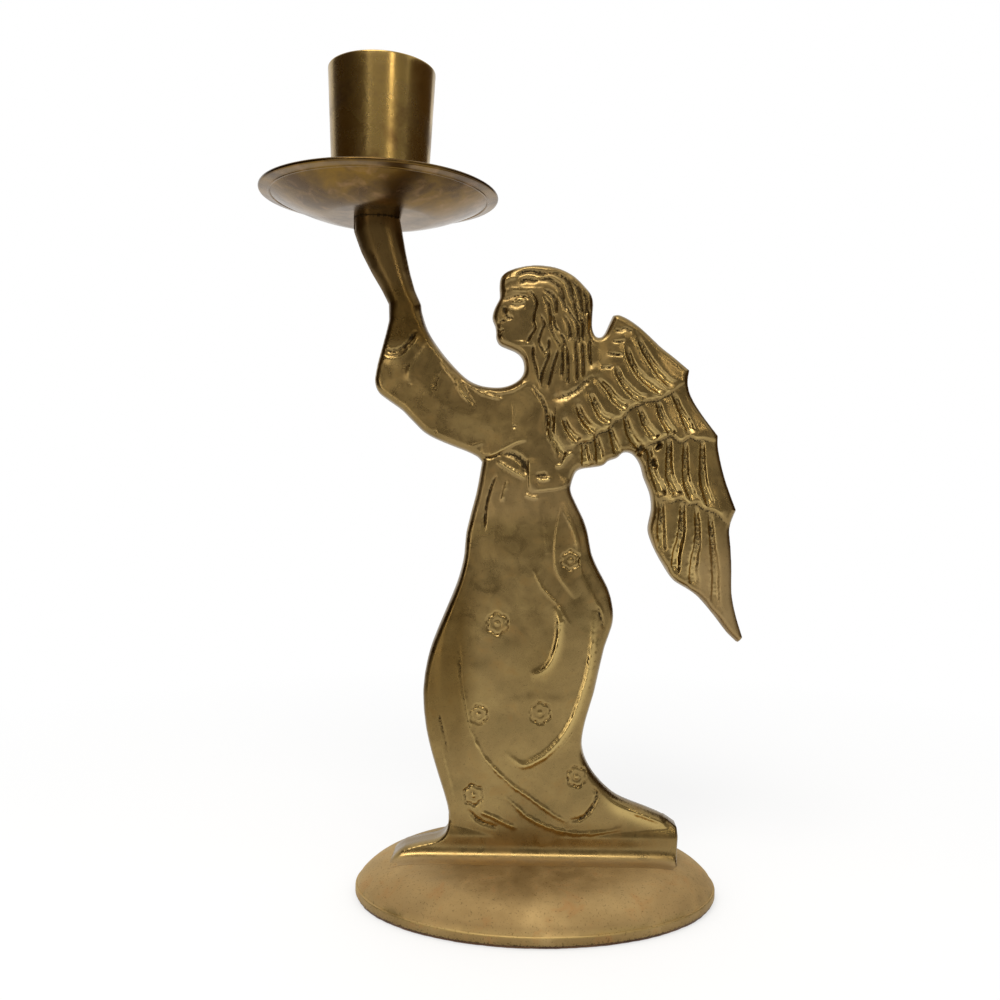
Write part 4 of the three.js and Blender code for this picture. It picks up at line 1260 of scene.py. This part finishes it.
    def build(self) -> bpy.types.Object:
        """Builds the casting as one closed mesh.

        Returns:
            The finished piece.
        """
        ring = self.outline()
        low, high = ring.min(0), ring.max(0)
        xs = graded(low[0] - self.step, high[0] + self.step, self.step, self.finer_columns)
        arc = self.fillet * (1 - np.cos(np.radians(np.arange(0, 49, 6))))
        upper = graded(arc[-1] + self.step, high[1] - 0.1, self.step, self.finer_rows)
        zs = np.concatenate([[-self.skirt], arc, upper, [high[1]]])
        shape = (len(zs), len(xs))
        x, z = (a.ravel() for a in np.meshgrid(xs, zs))
        distance, point, outward = self.measure(ring, x, z, False)
        signed = np.where(self.inside(ring, x, z), distance, -distance)
        usable = (signed > -0.48 * self.step).reshape(shape)
        middle_x = (xs[:-1] + xs[1:]) / 2
        middle_z = (zs[:-1] + zs[1:]) / 2
        mx, mz = (a.ravel() for a in np.meshgrid(middle_x, middle_z))
        cells = usable[:-1, :-1] & usable[1:, :-1] & usable[:-1, 1:] & usable[1:, 1:]
        cells &= self.inside(ring, mx, mz).reshape(cells.shape)
        rows, columns = np.nonzero(cells)
        corner = rows * shape[1] + columns
        quads = np.stack([corner, corner + 1, corner + shape[1] + 1, corner + shape[1]], 1)
        edges = np.stack([quads, np.roll(quads, -1, 1)], 2).reshape(-1, 2)
        known = set(map(tuple, edges.tolist()))
        rim = [(a, b) for a, b in known if (b, a) not in known]
        rim_points = np.array(sorted({a for pair in rim for a in pair}))
        x[rim_points], z[rim_points] = point[rim_points].T
        used = np.unique(quads)
        inset = np.zeros(len(x))
        inset[used] = self.measure(ring, x[used], z[used], True)[0]
        rng = np.random.default_rng(self.seed)
        rough = (0.45 * waviness(shape, 2, rng) + 0.35 * waviness(shape, 4, rng)
                 + 0.35 * waviness(shape, 9, rng)).ravel()
        waves = (0.07 * waviness(shape, 22, rng) + 0.035 * waviness(shape, 9, rng)).ravel()
        half = np.zeros(len(x))
        ux, uz, ui = x[used], z[used], inset[used]
        body = self.body_half(ux, uz, ui)
        calm = np.clip(ui / 0.8, 0, 1)
        relief, dirt_and_shade, shine = self.relief(ux, uz, rough[used])
        in_hand = np.clip((uz - 138) / 6, 0, 1) * (ux < -25)
        body = body + calm * (relief + waves[used] * (1 - in_hand))
        half[used] = np.maximum(np.maximum(body, self.plinth(uz, ui)), 0.3)
        weight = np.zeros(len(x))
        weight[used] = 1
        grid, mask = half.reshape(shape), weight.reshape(shape)
        fine = blurred(grid, mask, 2) - grid
        broad = blurred(grid, mask, 6) - grid
        hollow_dirt_and_shade = np.clip(3.0 * fine + 0.8 * broad, 0, 1) * mask
        clear = np.clip((z - 6.5) / 2, 0, 1) * np.clip((inset - 0.5) / 0.8, 0, 1)
        inland = np.clip((inset - 2.0) / 1.4, 0, 1)
        hollow_dirt_and_shade = 0.5 * blurred(hollow_dirt_and_shade, mask, 1).ravel() * inland
        # Dirt from the strokes, with the painted shadow under the wing's tiers.
        hollow_dirt_and_shade[used] = np.maximum(hollow_dirt_and_shade[used], dirt_and_shade)
        hollow_dirt_and_shade *= clear
        wear_and_highlight = np.clip(-5.0 * fine - 1.0 * broad - 0.15, 0, 1).ravel() * clear * inland
        # Painted highlights: a strip along the train's upper edge and the flanks of the strokes, on
        # top of the rubbed edges.
        train_highlight = (np.clip((x - 16) / 5, 0, 1) * np.clip((24 - z) / 5, 0, 1)
                 * np.exp(-((inset - 2.2) / 1.6) ** 2))
        wear_and_highlight[used] = np.maximum(wear_and_highlight[used], shine * clear[used])
        wear_and_highlight = np.maximum(wear_and_highlight, train_highlight * clear)
        seam = np.exp(-((z - self.hand_top) / 0.42) ** 2) * (x < -28)
        hollow_dirt_and_shade = np.maximum(hollow_dirt_and_shade, seam)
        # Brown patina on the hand, wrist and arm, a darker band along the plinth, and painted shade
        # on the gown's left side and on the belly.
        skin = np.clip((z - self.cuff_height) / 3, 0, 1) * (x < -28)
        arm = np.clip((-6 - x) / 8, 0, 1) * np.clip((z - 100) / 6, 0, 1)
        band = np.exp(-((z - 7.2) / 2.0) ** 2)
        left_side_painted_shade = np.clip((-15 - x) / 5, 0, 1) * np.exp(-((z - 54) / 24) ** 4)
        belly_painted_shade = np.exp(-((x + 1) / 6) ** 2 - ((z - 52) / 10) ** 2)
        patina_and_shade = np.clip(0.1 * arm + 0.66 * skin + 0.3 * band + 0.7 * left_side_painted_shade + 0.25 * belly_painted_shade, 0, 1)
        lift = self.dome_lift(x)
        height = np.where(z < 0, lift + z, z + lift * np.clip(1 - z / self.fillet, 0, 1))
        number = np.full(len(x), -1)
        number[used] = np.arange(len(used))
        front = np.stack([x[used], -half[used], height[used] + self.seat_z], 1)
        back = front * (1, -1, 1)
        count = len(used)
        faces = [tuple(q) for q in number[quads]]
        faces += [tuple(q[::-1] + count) for q in number[quads]]
        vertices = [front, back]
        shares = (-0.45, 0.0, 0.45)
        rim_number = {p: i for i, p in enumerate(rim_points)}
        total = 2 * count
        for share in shares:
            layer = np.stack([x[rim_points], share * half[rim_points],
                              height[rim_points] + self.seat_z], 1)
            if share == 0:
                proud = self.parting * (half[rim_points] < 2)
                layer[:, [0, 2]] += outward[rim_points] * proud[:, None]
                layer[:, 0] = np.clip(layer[:, 0], low[0], high[0])
            vertices.append(layer)
        m = len(rim_points)
        for a, b in rim:
            i, j = rim_number[a], rim_number[b]
            column_a = [number[a]] + [total + k * m + i for k in range(3)] + [number[a] + count]
            column_b = [number[b]] + [total + k * m + j for k in range(3)] + [number[b] + count]
            for k in range(4):
                faces.append((column_b[k], column_a[k], column_a[k + 1], column_b[k + 1]))
        made = new_object("angel_casting", np.vstack(vertices), [tuple(map(int, f)) for f in faces],
                          self.finish.material("cast brass"), 48)
        wall = np.zeros(3 * m)
        brown = np.full(3 * m, 0.25)
        chest = (np.clip((z - 84) / 6, 0, 1) * np.clip((12 - x) / 4, 0, 1)
                 * np.clip((x + 28) / 4, 0, 1))
        waist = chest * np.exp(-((z - 91) / 6) ** 4)
        tip = np.clip((88 - z) / 12, 0, 1) * np.clip((x - 36) / 6, 0, 1)
        palm = np.clip((z - 145) / 4, 0, 1) * (x < -28)
        satin = np.maximum(np.clip((0.9 - z) / 0.5, 0, 1),
                           0.1 * chest + 0.25 * waist + 0.6 * tip + 0.15 * palm)
        set_wear(made, "hollow_dirt_and_shade", np.concatenate([hollow_dirt_and_shade[used], hollow_dirt_and_shade[used], wall]))
        set_wear(made, "wear_and_highlight", np.concatenate([wear_and_highlight[used], wear_and_highlight[used], wall]))
        set_wear(made, "patina_and_shade", np.concatenate([patina_and_shade[used], patina_and_shade[used], brown]))
        set_wear(made, "satin", np.concatenate([satin[used], satin[used], wall]))
        hand_in(made, "cast_brass", self.node)
        return made


@dataclass
class OvalFoot:
    """The oval domed foot, hollow beneath, with the flat that takes the plinth."""

    finish: CastBrass = field(default_factory=lambda: CastBrass(
        rubbed="#cbb07c", bloom="#aa9061", olive="#8c7349", copper="#b9804a", pale="#d2b684",
        blotch_mm=18.0, copper_share=0.45, speck_share=0.4, shine=(0.56, 0.72)))
    half_length: float = 46.4
    half_width: float = 32.5
    base_z: float = 0.8
    height: float = 9.2
    rim_height: float = 2.2
    wall: float = 2.4
    fullness: float = 3.5
    flat_share: float = 0.6
    land_length: tuple[float, float] = (-37.95, 36.15)
    land_half: float = 9.05
    land_depth: float = 0.6
    screw_x: float = 20.0
    screw_hole: float = 2.3

    def surface(self, x: np.ndarray, y: float) -> np.ndarray:
        """Gives the height of the dome's upper side.

        Args:
            x: places along the foot.
            y: place across it.

        Returns:
            Heights in the frame.
        """
        share = np.hypot(np.asarray(x) / self.half_length, y / self.half_width)
        t = np.clip((share - self.flat_share) / (1 - self.flat_share), 0, 1)
        return self.base_z + self.height - (self.height - self.rim_height) * t ** self.fullness

    def profile(self, half: float, rim: float, top: float) -> Points:
        """Draws the dome's section from its rim to its middle, for a unit oval.

        Args:
            half: half length, to round the rim in real size.
            rim: height of the rim.
            top: height of the flat.

        Returns:
            Share of the oval and height of each point.
        """
        steps = 18
        found = []
        for i in range(steps + 1):
            drop = (1 - i / steps) ** 2
            share = self.flat_share + (1 - self.flat_share) * drop ** (1 / self.fullness)
            found.append((share, top - (top - rim) * drop))
        bead = 0.5 / half
        shoulder = [(1, rim - 0.4), (1 - 0.15 * bead, rim - 0.15), (1 - 0.5 * bead, rim),
                    (1 - 0.9 * bead, rim + 0.02)]
        return [(1 - bead, 0), (1 - 0.25 * bead, 0.15), (1, 0.4), *shoulder, *found[2:],
                (self.flat_share * 0.6, top), (self.flat_share * 0.25, top), (0, top)]

    def build(self) -> bpy.types.Object:
        """Builds the foot.

        Returns:
            The finished piece.
        """
        outer = self.profile(self.half_length, self.rim_height, self.height)
        inner = self.profile(self.half_length, self.rim_height - self.wall / 2,
                             self.height - self.wall)[4:]
        shrink = 1 - self.wall / ((self.half_length + self.half_width) / 2)
        section = outer + [(s * shrink, z) for s, z in reversed(inner)]
        section.append((shrink, 0))
        vertices, faces = turn(section, (0, 0), (self.half_length, self.half_width), 220)
        vertices[:, 2] += self.base_z
        rng = np.random.default_rng(5)
        angle = np.arctan2(vertices[:, 1], vertices[:, 0])
        wave = sum(rng.uniform(0.02, 0.05) * np.sin(n * angle + rng.uniform(0, 6))
                   for n in (2, 3, 5, 8, 13))
        share = np.hypot(vertices[:, 0] / self.half_length, vertices[:, 1] / self.half_width)
        vertices[:, 2] += wave * np.clip((share - 0.3) * 3, 0, 1) * (vertices[:, 2] > 3)
        made = new_object("oval_foot", vertices, faces, self.finish.material("cast brass foot"), 42)
        top = self.base_z + self.height
        cut(made, *box(self.land_length, (-self.land_half, self.land_half),
                       (top - self.land_depth, top + self.land_depth)))
        for x in (-self.screw_x, self.screw_x):
            hole = turn([(0, 0), (self.screw_hole, 0), (self.screw_hole, 14), (0, 14)], (x, 0),
                        sides=32)
            cut(made, *hole)
        places = np.array([v.co for v in made.data.vertices]) / MM
        share = np.hypot(places[:, 0] / self.half_length, places[:, 1] / self.half_width)
        above = places[:, 2] - self.base_z
        outside = share > 0.97
        # Darker at the very bottom of the rim.
        set_wear(made, "hollow_dirt_and_shade", np.clip(1 - above / 0.8, 0, 1) * outside * 0.7)
        # Rubbed wear and a painted highlight along the rim's top edge.
        set_wear(made, "wear_and_highlight", np.exp(-((above - self.rim_height + 0.1) / 0.2) ** 2) * outside)
        # Painted shade on the dome behind the plinth, and the rim's side darker towards the bottom.
        behind = 0.3 * np.clip((places[:, 1] - 4) / 8, 0, 1)
        rim = 0.35 * np.clip(1 - above / self.rim_height, 0, 1) * outside
        set_wear(made, "patina_and_shade", np.maximum(behind, rim))
        ends = np.clip((np.abs(places[:, 0]) - 18) / 14, 0, 1) * (places[:, 1] < 8)
        set_wear(made, "satin", (0.2 + 0.3 * ends) * (above > self.rim_height))
        hand_in(made, "cast_brass", "foot")
        return made


def box(along_x: tuple, along_y: tuple, along_z: tuple) -> tuple[np.ndarray, list]:
    """Makes a box.

    Args:
        along_x: its two ends in X.
        along_y: its two ends in Y.
        along_z: its two ends in Z.

    Returns:
        Vertices and faces.
    """
    corners = [(x, y, z) for x in along_x for y in along_y for z in along_z]
    return np.array(corners), [(0, 1, 3, 2), (4, 6, 7, 5), (0, 4, 5, 1), (2, 3, 7, 6),
                               (0, 2, 6, 4), (1, 5, 7, 3)]


def cut(made: bpy.types.Object, vertices: np.ndarray, faces: list) -> None:
    """Cuts a closed shape out of a piece.

    Args:
        made: the piece.
        vertices: the shape's points, in millimetres.
        faces: its faces.
    """
    mesh = bpy.data.meshes.new("cutter")
    mesh.from_pydata((np.asarray(vertices) * MM).tolist(), [], faces)
    cutter = bpy.data.objects.new("cutter", mesh)
    bpy.context.scene.collection.objects.link(cutter)
    modifier = made.modifiers.new("cut", "BOOLEAN")
    modifier.operation = "DIFFERENCE"
    modifier.solver = "EXACT"
    modifier.object = cutter
    bpy.context.view_layer.update()
    result = bpy.data.meshes.new_from_object(
        made.evaluated_get(bpy.context.evaluated_depsgraph_get()))
    made.modifiers.clear()
    old = made.data
    made.data = result
    bpy.data.meshes.remove(old)
    bpy.data.objects.remove(cutter)
    bpy.data.meshes.remove(mesh)


@dataclass
class FeltPad:
    """The felt under the foot, whose edge is cut by hand and a little ragged."""

    finish: WoolFelt = field(default_factory=WoolFelt)
    half_length: float = 45.9
    half_width: float = 32.0
    thickness: float = 0.8
    ragged: float = 0.22

    def build(self) -> bpy.types.Object:
        """Builds the pad.

        Returns:
            The finished piece.
        """
        sides = 360
        section = [(0, 0), (0.5, 0), (0.985, 0), (1, 0.25), (1, self.thickness - 0.2),
                   (0.99, self.thickness), (0.5, self.thickness), (0, self.thickness)]
        vertices, faces = turn(section, (0, 0), (self.half_length, self.half_width), sides)
        rng = np.random.default_rng(3)
        angle = np.arctan2(vertices[:, 1], vertices[:, 0])
        wave = sum(rng.uniform(0.3, 1) * np.sin(n * angle + rng.uniform(0, 6))
                   for n in (7, 19, 31, 53, 88)) / 4
        share = np.hypot(vertices[:, 0] / self.half_length, vertices[:, 1] / self.half_width)
        out = 1 + (self.ragged * wave / self.half_length) * (share > 0.9)
        vertices[:, :2] *= out[:, None]
        made = new_object("felt_under_foot", vertices, faces, self.finish.material("wool felt"), 60)
        hand_in(made, "felt", "felt_pad")
        return made


@dataclass
class DripPan:
    """The dished pan that catches the wax, spun from sheet, with a raised lip."""

    finish: TurnedBrass = field(default_factory=lambda: TurnedBrass(
        bright="#795c27", mellow="#685029", tarnish="#574227", rose="#8f6f4c",
        stain_mm=12.0, fleck_mm=4.0, stain_share=0.55, shine=(0.16, 0.28)))
    axis_x: float = -43.35
    base_z: float = 174.2
    radius: float = 30.75
    lip_width: float = 3.0
    sheet: float = 1.0
    bowl_rise: float = 5.0
    lip_rise: float = 0.5
    floor_radius: float = 13.2
    curve: float = 1.45
    hole: float = 2.3

    def build(self) -> bpy.types.Object:
        """Builds the pan.

        Returns:
            The finished piece.
        """
        lip_start = self.radius - self.lip_width
        under = [(self.hole, 0.0), (self.floor_radius * 0.6, 0.0), (self.floor_radius, 0.0)]
        steps = 22
        for i in range(1, steps + 1):
            t = i / steps
            under.append((self.floor_radius + (lip_start - self.floor_radius) * t,
                          self.bowl_rise * t ** self.curve))
        bead = [(lip_start + 0.1, self.bowl_rise - 0.12), (lip_start + 0.3, self.bowl_rise - 0.16),
                (lip_start + 0.5, self.bowl_rise - 0.08), (lip_start + 0.6, self.bowl_rise + 0.08)]
        for i in range(1, 7):
            t = i / 6
            bead.append((lip_start + 0.6 + (self.radius - 1.05 - lip_start) * t,
                         self.bowl_rise + 0.12 + (self.lip_rise - 0.12) * t))
        under += bead
        over = [(r, z + self.sheet) for r, z in reversed(under)]
        end = under[-1]
        edge = []
        for i in range(1, 8):
            angle = -math.pi / 2 + math.pi * i / 8
            edge.append((end[0] + 0.45 * math.cos(angle),
                         end[1] + self.sheet / 2 + self.sheet / 2 * math.sin(angle)))
        section = under + edge + over
        vertices, faces = turn(section, (self.axis_x, 0), sides=180)
        rng = np.random.default_rng(11)
        angle = np.arctan2(vertices[:, 1], vertices[:, 0] - self.axis_x)
        far = np.hypot(vertices[:, 1], vertices[:, 0] - self.axis_x)
        wave = sum(rng.uniform(0.02, 0.05) * np.sin(n * angle + rng.uniform(0, 6))
                   for n in (2, 3, 4, 7))
        vertices[:, 2] += self.base_z + wave * np.clip((far - 14) / 16, 0, 1)
        made = new_object("dished_pan", vertices, faces,
                          self.finish.material("spun brass", self.axis_x * MM), 36)
        seam = np.exp(-((far - lip_start - 0.5) / 0.3) ** 2) * 0.35
        edge_dirt = np.clip((far - self.radius + 0.5) / 0.5, 0, 1) * 0.6
        set_wear(made, "hollow_dirt_and_shade", np.maximum(seam, edge_dirt))
        hand_in(made, "turned_brass", "drip_pan")
        return made


@dataclass
class CandleCup:
    """The tapered cup for one candle, turned from a casting."""

    finish: TurnedBrass = field(default_factory=lambda: TurnedBrass(
        stain_mm=14.0, stain_share=0.3, ring_mm=0.35))
    axis_x: float = -43.35
    base_z: float = 175.2
    height: float = 37.3
    base_radius: float = 12.05
    mouth_radius: float = 13.88
    wall: float = 1.2
    floor: float = 1.6
    spot_depth: float = 0.3
    spot_radius: float = 5.3
    hole: float = 2.3

    def build(self) -> bpy.types.Object:
        """Builds the cup.

        Returns:
            The finished piece.
        """
        def at(z: float) -> float:
            """Gives the outer radius at a height."""
            return self.base_radius + (self.mouth_radius - self.base_radius) * z / self.height

        section: Points = [(self.hole, 0), (self.base_radius * 0.6, 0)]
        section += rounded((self.base_radius, 0), (0, 0), (at(5), 5), 0.4)
        steps = 24
        section += [(at(self.height * i / steps), self.height * i / steps)
                    for i in range(1, steps)]
        mouth = (self.mouth_radius, self.height)
        inner = (self.mouth_radius - self.wall, self.height)
        section += rounded(mouth, (at(self.height - 5), self.height - 5), inner, 0.4)
        section += rounded(inner, mouth, (at(20) - self.wall, 20), 0.4)
        section += [(at(self.height * i / steps) - self.wall, self.height * i / steps)
                    for i in range(steps - 1, 1, -1)]
        floor_edge = (at(self.floor) - self.wall, self.floor)
        section += rounded(floor_edge, (floor_edge[0] + 0.1, self.floor + 3), (0, self.floor), 0.8)
        low = self.floor - self.spot_depth
        section += [(self.spot_radius + 1, self.floor), (self.spot_radius, self.floor),
                    (self.spot_radius, low), (self.hole, low)]
        vertices, faces = turn(section, (self.axis_x, 0), sides=160)
        vertices[:, 2] += self.base_z
        made = new_object("tapered_cup", vertices, faces,
                          self.finish.material("turned brass", self.axis_x * MM), 36)
        inside_depth = np.clip((self.base_z + self.height - vertices[:, 2]) / self.height, 0, 1)
        far = np.hypot(vertices[:, 1], vertices[:, 0] - self.axis_x)
        outer = self.base_radius + (self.mouth_radius - self.base_radius) * (1 - inside_depth)
        # Painted shade inside the cup, deeper towards its floor.
        set_wear(made, "hollow_dirt_and_shade", np.where(far < outer - 0.6, 0.25 + 0.5 * inside_depth, 0))
        hand_in(made, "turned_brass", "candle_cup")
        return made


@dataclass
class SlottedScrew:
    """A slotted pan-head screw on a plain washer."""

    name: str
    node: str
    washer_node: str
    centre_x: float
    seat_z: float
    points_up: bool
    shank: float
    finish: ScrewSteel = field(default_factory=ScrewSteel)
    radius: float = 2.0
    head_radius: float = 3.9
    head_height: float = 2.4
    washer_radius: float = 5.0
    washer_thickness: float = 1.0
    slot_width: float = 1.1
    slot_depth: float = 1.1

    def build(self) -> None:
        """Builds the screw and its washer."""
        way = -1 if self.points_up else 1
        material = self.finish.material(f"{self.name} steel")
        head_z = self.washer_thickness
        domed = [(self.head_radius * math.cos(a), head_z + self.head_height * 0.45
                  + self.head_height * 0.55 * math.sin(a))
                 for a in np.linspace(0, math.pi / 2, 9)[:-1]]
        section = [(0, head_z - self.shank), (self.radius * 0.6, head_z - self.shank),
                   (self.radius, head_z - self.shank + 0.8), (self.radius, head_z),
                   (self.head_radius - 0.2, head_z), (self.head_radius, head_z + 0.2), *domed,
                   (0, head_z + self.head_height)]
        screw = self.placed(self.name, section, material)
        top = self.seat_z + way * (head_z + self.head_height)
        reach = 2 * self.head_radius
        cut(screw, *box((self.centre_x - reach, self.centre_x + reach),
                        (-self.slot_width / 2, self.slot_width / 2),
                        (top - self.slot_depth, top + self.slot_depth)))
        hand_in(screw, "screw_steel", self.node)
        hole = self.radius + 0.3
        rim = [(hole, 0), (self.washer_radius - 0.1, 0), (self.washer_radius, 0.1),
               (self.washer_radius, self.washer_thickness - 0.15),
               (self.washer_radius - 0.15, self.washer_thickness), (hole, self.washer_thickness)]
        washer = self.placed(f"{self.name}_washer", rim, material)
        hand_in(washer, "screw_steel", self.washer_node)

    def placed(self, name: str, section: Points, material: bpy.types.Material
               ) -> bpy.types.Object:
        """Turns a section and sets it on the seat, the way round that the screw points.

        Args:
            name: the object's name.
            section: radius and height above the seat of each point.
            material: its finish.

        Returns:
            The object.
        """
        vertices, faces = turn(section, (self.centre_x, 0), sides=64)
        if self.points_up:
            vertices[:, 2] *= -1
            faces = [face[::-1] for face in faces]
        vertices[:, 2] += self.seat_z
        return new_object(name, vertices, faces, material, 35)


@dataclass
class Studio:
    """Camera, floor, soft lamps, glowing panels seen only in reflections, and the pale room round
    them.
    """

    eye: tuple[float, float, float] = (-2.35, -257.0, 108.5)
    lens: float = 35.53
    shift: tuple[float, float] = (-0.0329, -0.0261)
    roll: float = 0.017
    room: str = "#ffffff"
    shade_level: float = 0.85
    floor_fade: tuple[float, float] = (0.08, 0.3)
    floor_white: float = 0.6

    def camera(self) -> None:
        """Sets the camera level, looking straight at the flat side of the figure."""
        data = bpy.data.cameras.new("camera")
        data.lens = self.lens
        data.sensor_width = 36.0
        data.clip_start = 0.01
        data.shift_x, data.shift_y = self.shift
        made = bpy.data.objects.new("camera", data)
        bpy.context.scene.collection.objects.link(made)
        turned = Matrix.Rotation(math.pi / 2, 4, "X") @ Matrix.Rotation(self.roll, 4, "Z")
        made.matrix_world = Matrix.Translation(Vector(self.eye) * MM) @ turned
        bpy.context.scene.camera = made

    def floor(self) -> None:
        """Lays the pale floor, white to the camera, with the shadow kept and clear from below."""
        material, tree = new_tree("studio floor")
        where = add_node(tree, "ShaderNodeTexCoord").outputs["Object"]
        far = add_node(tree, "ShaderNodeVectorMath", {"operation": "LENGTH"}, {0: where})
        share = mapped(tree, far.outputs["Value"], *self.floor_fade, self.floor_white, 1.0)
        rays = add_node(tree, "ShaderNodeLightPath")
        seen = math_node(tree, "MAXIMUM", rays.outputs["Is Camera Ray"],
                         rays.outputs["Is Glossy Ray"])
        seen = math_node(tree, "MAXIMUM", seen, rays.outputs["Is Transmission Ray"])
        seen = math_node(tree, "MULTIPLY", seen, share)
        matt = add_node(tree, "ShaderNodeBsdfDiffuse", inputs={"Color": linear("#f2f2f2")})
        glow = add_node(tree, "ShaderNodeEmission", inputs={"Color": linear(self.room),
                                                            "Strength": 1.0})
        both = add_node(tree, "ShaderNodeMixShader", inputs={
            0: seen, 1: matt.outputs[0], 2: glow.outputs[0]})
        under = add_node(tree, "ShaderNodeNewGeometry").outputs["Backfacing"]
        clear = add_node(tree, "ShaderNodeBsdfTransparent")
        sheet = add_node(tree, "ShaderNodeMixShader", inputs={
            0: under, 1: both.outputs[0], 2: clear.outputs[0]})
        add_node(tree, "ShaderNodeOutputMaterial", inputs={"Surface": sheet.outputs[0]})
        reach, level = 3.0, -0.02 * MM
        mesh = bpy.data.meshes.new("studio_floor")
        mesh.from_pydata([(-reach, -reach, level), (reach, -reach, level), (reach, reach, level),
                          (-reach, reach, level)], [], [(0, 1, 2, 3)])
        mesh.materials.append(material)
        made = bpy.data.objects.new("studio_floor", mesh)
        bpy.context.scene.collection.objects.link(made)

    def world(self) -> None:
        """Makes the room white to camera, glossy and transmission rays, and plain to the rest."""
        world = bpy.data.worlds.new("pale room")
        world.use_nodes = True
        tree = world.node_tree
        tree.nodes.clear()
        rays = add_node(tree, "ShaderNodeLightPath")
        seen = math_node(tree, "MAXIMUM", rays.outputs["Is Camera Ray"],
                         rays.outputs["Is Glossy Ray"])
        seen = math_node(tree, "MAXIMUM", seen, rays.outputs["Is Transmission Ray"])
        plain = add_node(tree, "ShaderNodeBackground", inputs={
            "Color": linear(self.room), "Strength": self.shade_level})
        white = add_node(tree, "ShaderNodeBackground", inputs={
            "Color": linear(self.room), "Strength": 1.0})
        both = add_node(tree, "ShaderNodeMixShader", inputs={
            0: seen, 1: plain.outputs[0], 2: white.outputs[0]})
        add_node(tree, "ShaderNodeOutputWorld", inputs={"Surface": both.outputs[0]})
        bpy.context.scene.world = world

    def glowing_panel(self, name: str, centre: tuple, size: tuple, look: tuple, colour: str) -> None:
        """Hangs a glowing panel, which is no lamp and shows only in the metal's reflections.

        Args:
            name: its name.
            centre: its place in metres.
            size: width and height in metres.
            look: the point that it faces.
            colour: the colour it glows.
        """
        material, tree = new_tree(name)
        glow = add_node(tree, "ShaderNodeEmission", inputs={"Color": linear(colour)})
        add_node(tree, "ShaderNodeOutputMaterial", inputs={"Surface": glow.outputs[0]})
        w, h = size[0] / 2, size[1] / 2
        mesh = bpy.data.meshes.new(name)
        mesh.from_pydata([(-w, -h, 0), (w, -h, 0), (w, h, 0), (-w, h, 0)], [], [(0, 1, 2, 3)])
        mesh.materials.append(material)
        made = bpy.data.objects.new(name, mesh)
        made.location = centre
        made.rotation_euler = (Vector(look) - Vector(centre)).to_track_quat("Z", "Y").to_euler()
        for ray in ("camera", "diffuse", "transmission", "volume_scatter", "shadow"):
            setattr(made, f"visible_{ray}", False)
        bpy.context.scene.collection.objects.link(made)

    def lamp(self, name: str, centre: tuple, size: tuple, look: tuple, watts: float,
             colour: str = "#ffffff") -> None:
        """Hangs a soft rectangular lamp.

        Args:
            name: its name.
            centre: its place in metres.
            size: width and height in metres.
            look: the point that it faces.
            watts: its power.
            colour: its tint.
        """
        data = bpy.data.lights.new(name, "AREA")
        data.shape = "RECTANGLE"
        data.size, data.size_y = size
        data.energy = watts
        data.color = linear(colour)[:3]
        made = bpy.data.objects.new(name, data)
        made.location = centre
        made.rotation_euler = (Vector(look) - Vector(centre)).to_track_quat("-Z", "Y").to_euler()
        bpy.context.scene.collection.objects.link(made)

    def build(self) -> None:
        """Sets up the whole studio."""
        self.camera()
        self.floor()
        self.world()
        middle = (0.0, 0.0, 0.11)
        # Glowing panels, seen only in reflections, as the room round the metal.
        self.glowing_panel("room_front", (0.315, -0.42, 0.42), (0.99, 0.8), (0.315, 0, 0.42), "#9c978e")
        self.glowing_panel("room_left", (-0.44, -0.035, 0.27), (0.93, 0.54), (0.33, 0.485, 0.27), "#46361f")
        self.glowing_panel("room_right", (0.575, 0.11, 0.27), (1.08, 0.54), (-0.4, -0.338, 0.27), "#544128")
        self.lamp("key_strip", (0.165, -0.38, 0.33), (0.018, 0.2), (-0.04, 0, 0.19), 0.12,
                  "#fff4dc")
        self.lamp("edge_strip", (-0.176, -0.4, 0.28), (0.008, 0.3), (-0.04, 0, 0.19), 0.03)
        self.lamp("top_soft", (-0.1, -0.35, 0.55), (0.35, 0.2), middle, 1.7, "#fffaf0")
        self.lamp("left_soft", (-0.2, -0.31, 0.08), (0.1, 0.12), middle, 0.1, "#fffaf0")
        log.info("studio ready")


def main() -> None:
    """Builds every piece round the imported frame."""
    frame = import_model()
    scene = bpy.context.scene
    scene.view_settings.view_transform = "Standard"
    Studio().build()
    FeltPad().build()
    OvalFoot().build()
    AngelCasting(frame["nodes"]["angel_figure"]).build()
    DripPan().build()
    CandleCup().build()
    SlottedScrew("cup_fixing", "cup_screw", "cup_washer", -43.35, 176.5, False, 12.3).build()
    for side, x in (("left", -20.0), ("right", 20.0)):
        SlottedScrew(f"foot_fixing_{side}", f"foot_screw_{side}", f"foot_washer_{side}", x, 7.6,
                     True, 8.2, head_height=2.2, washer_thickness=0.9).build()


if __name__ == "__main__":
    main()
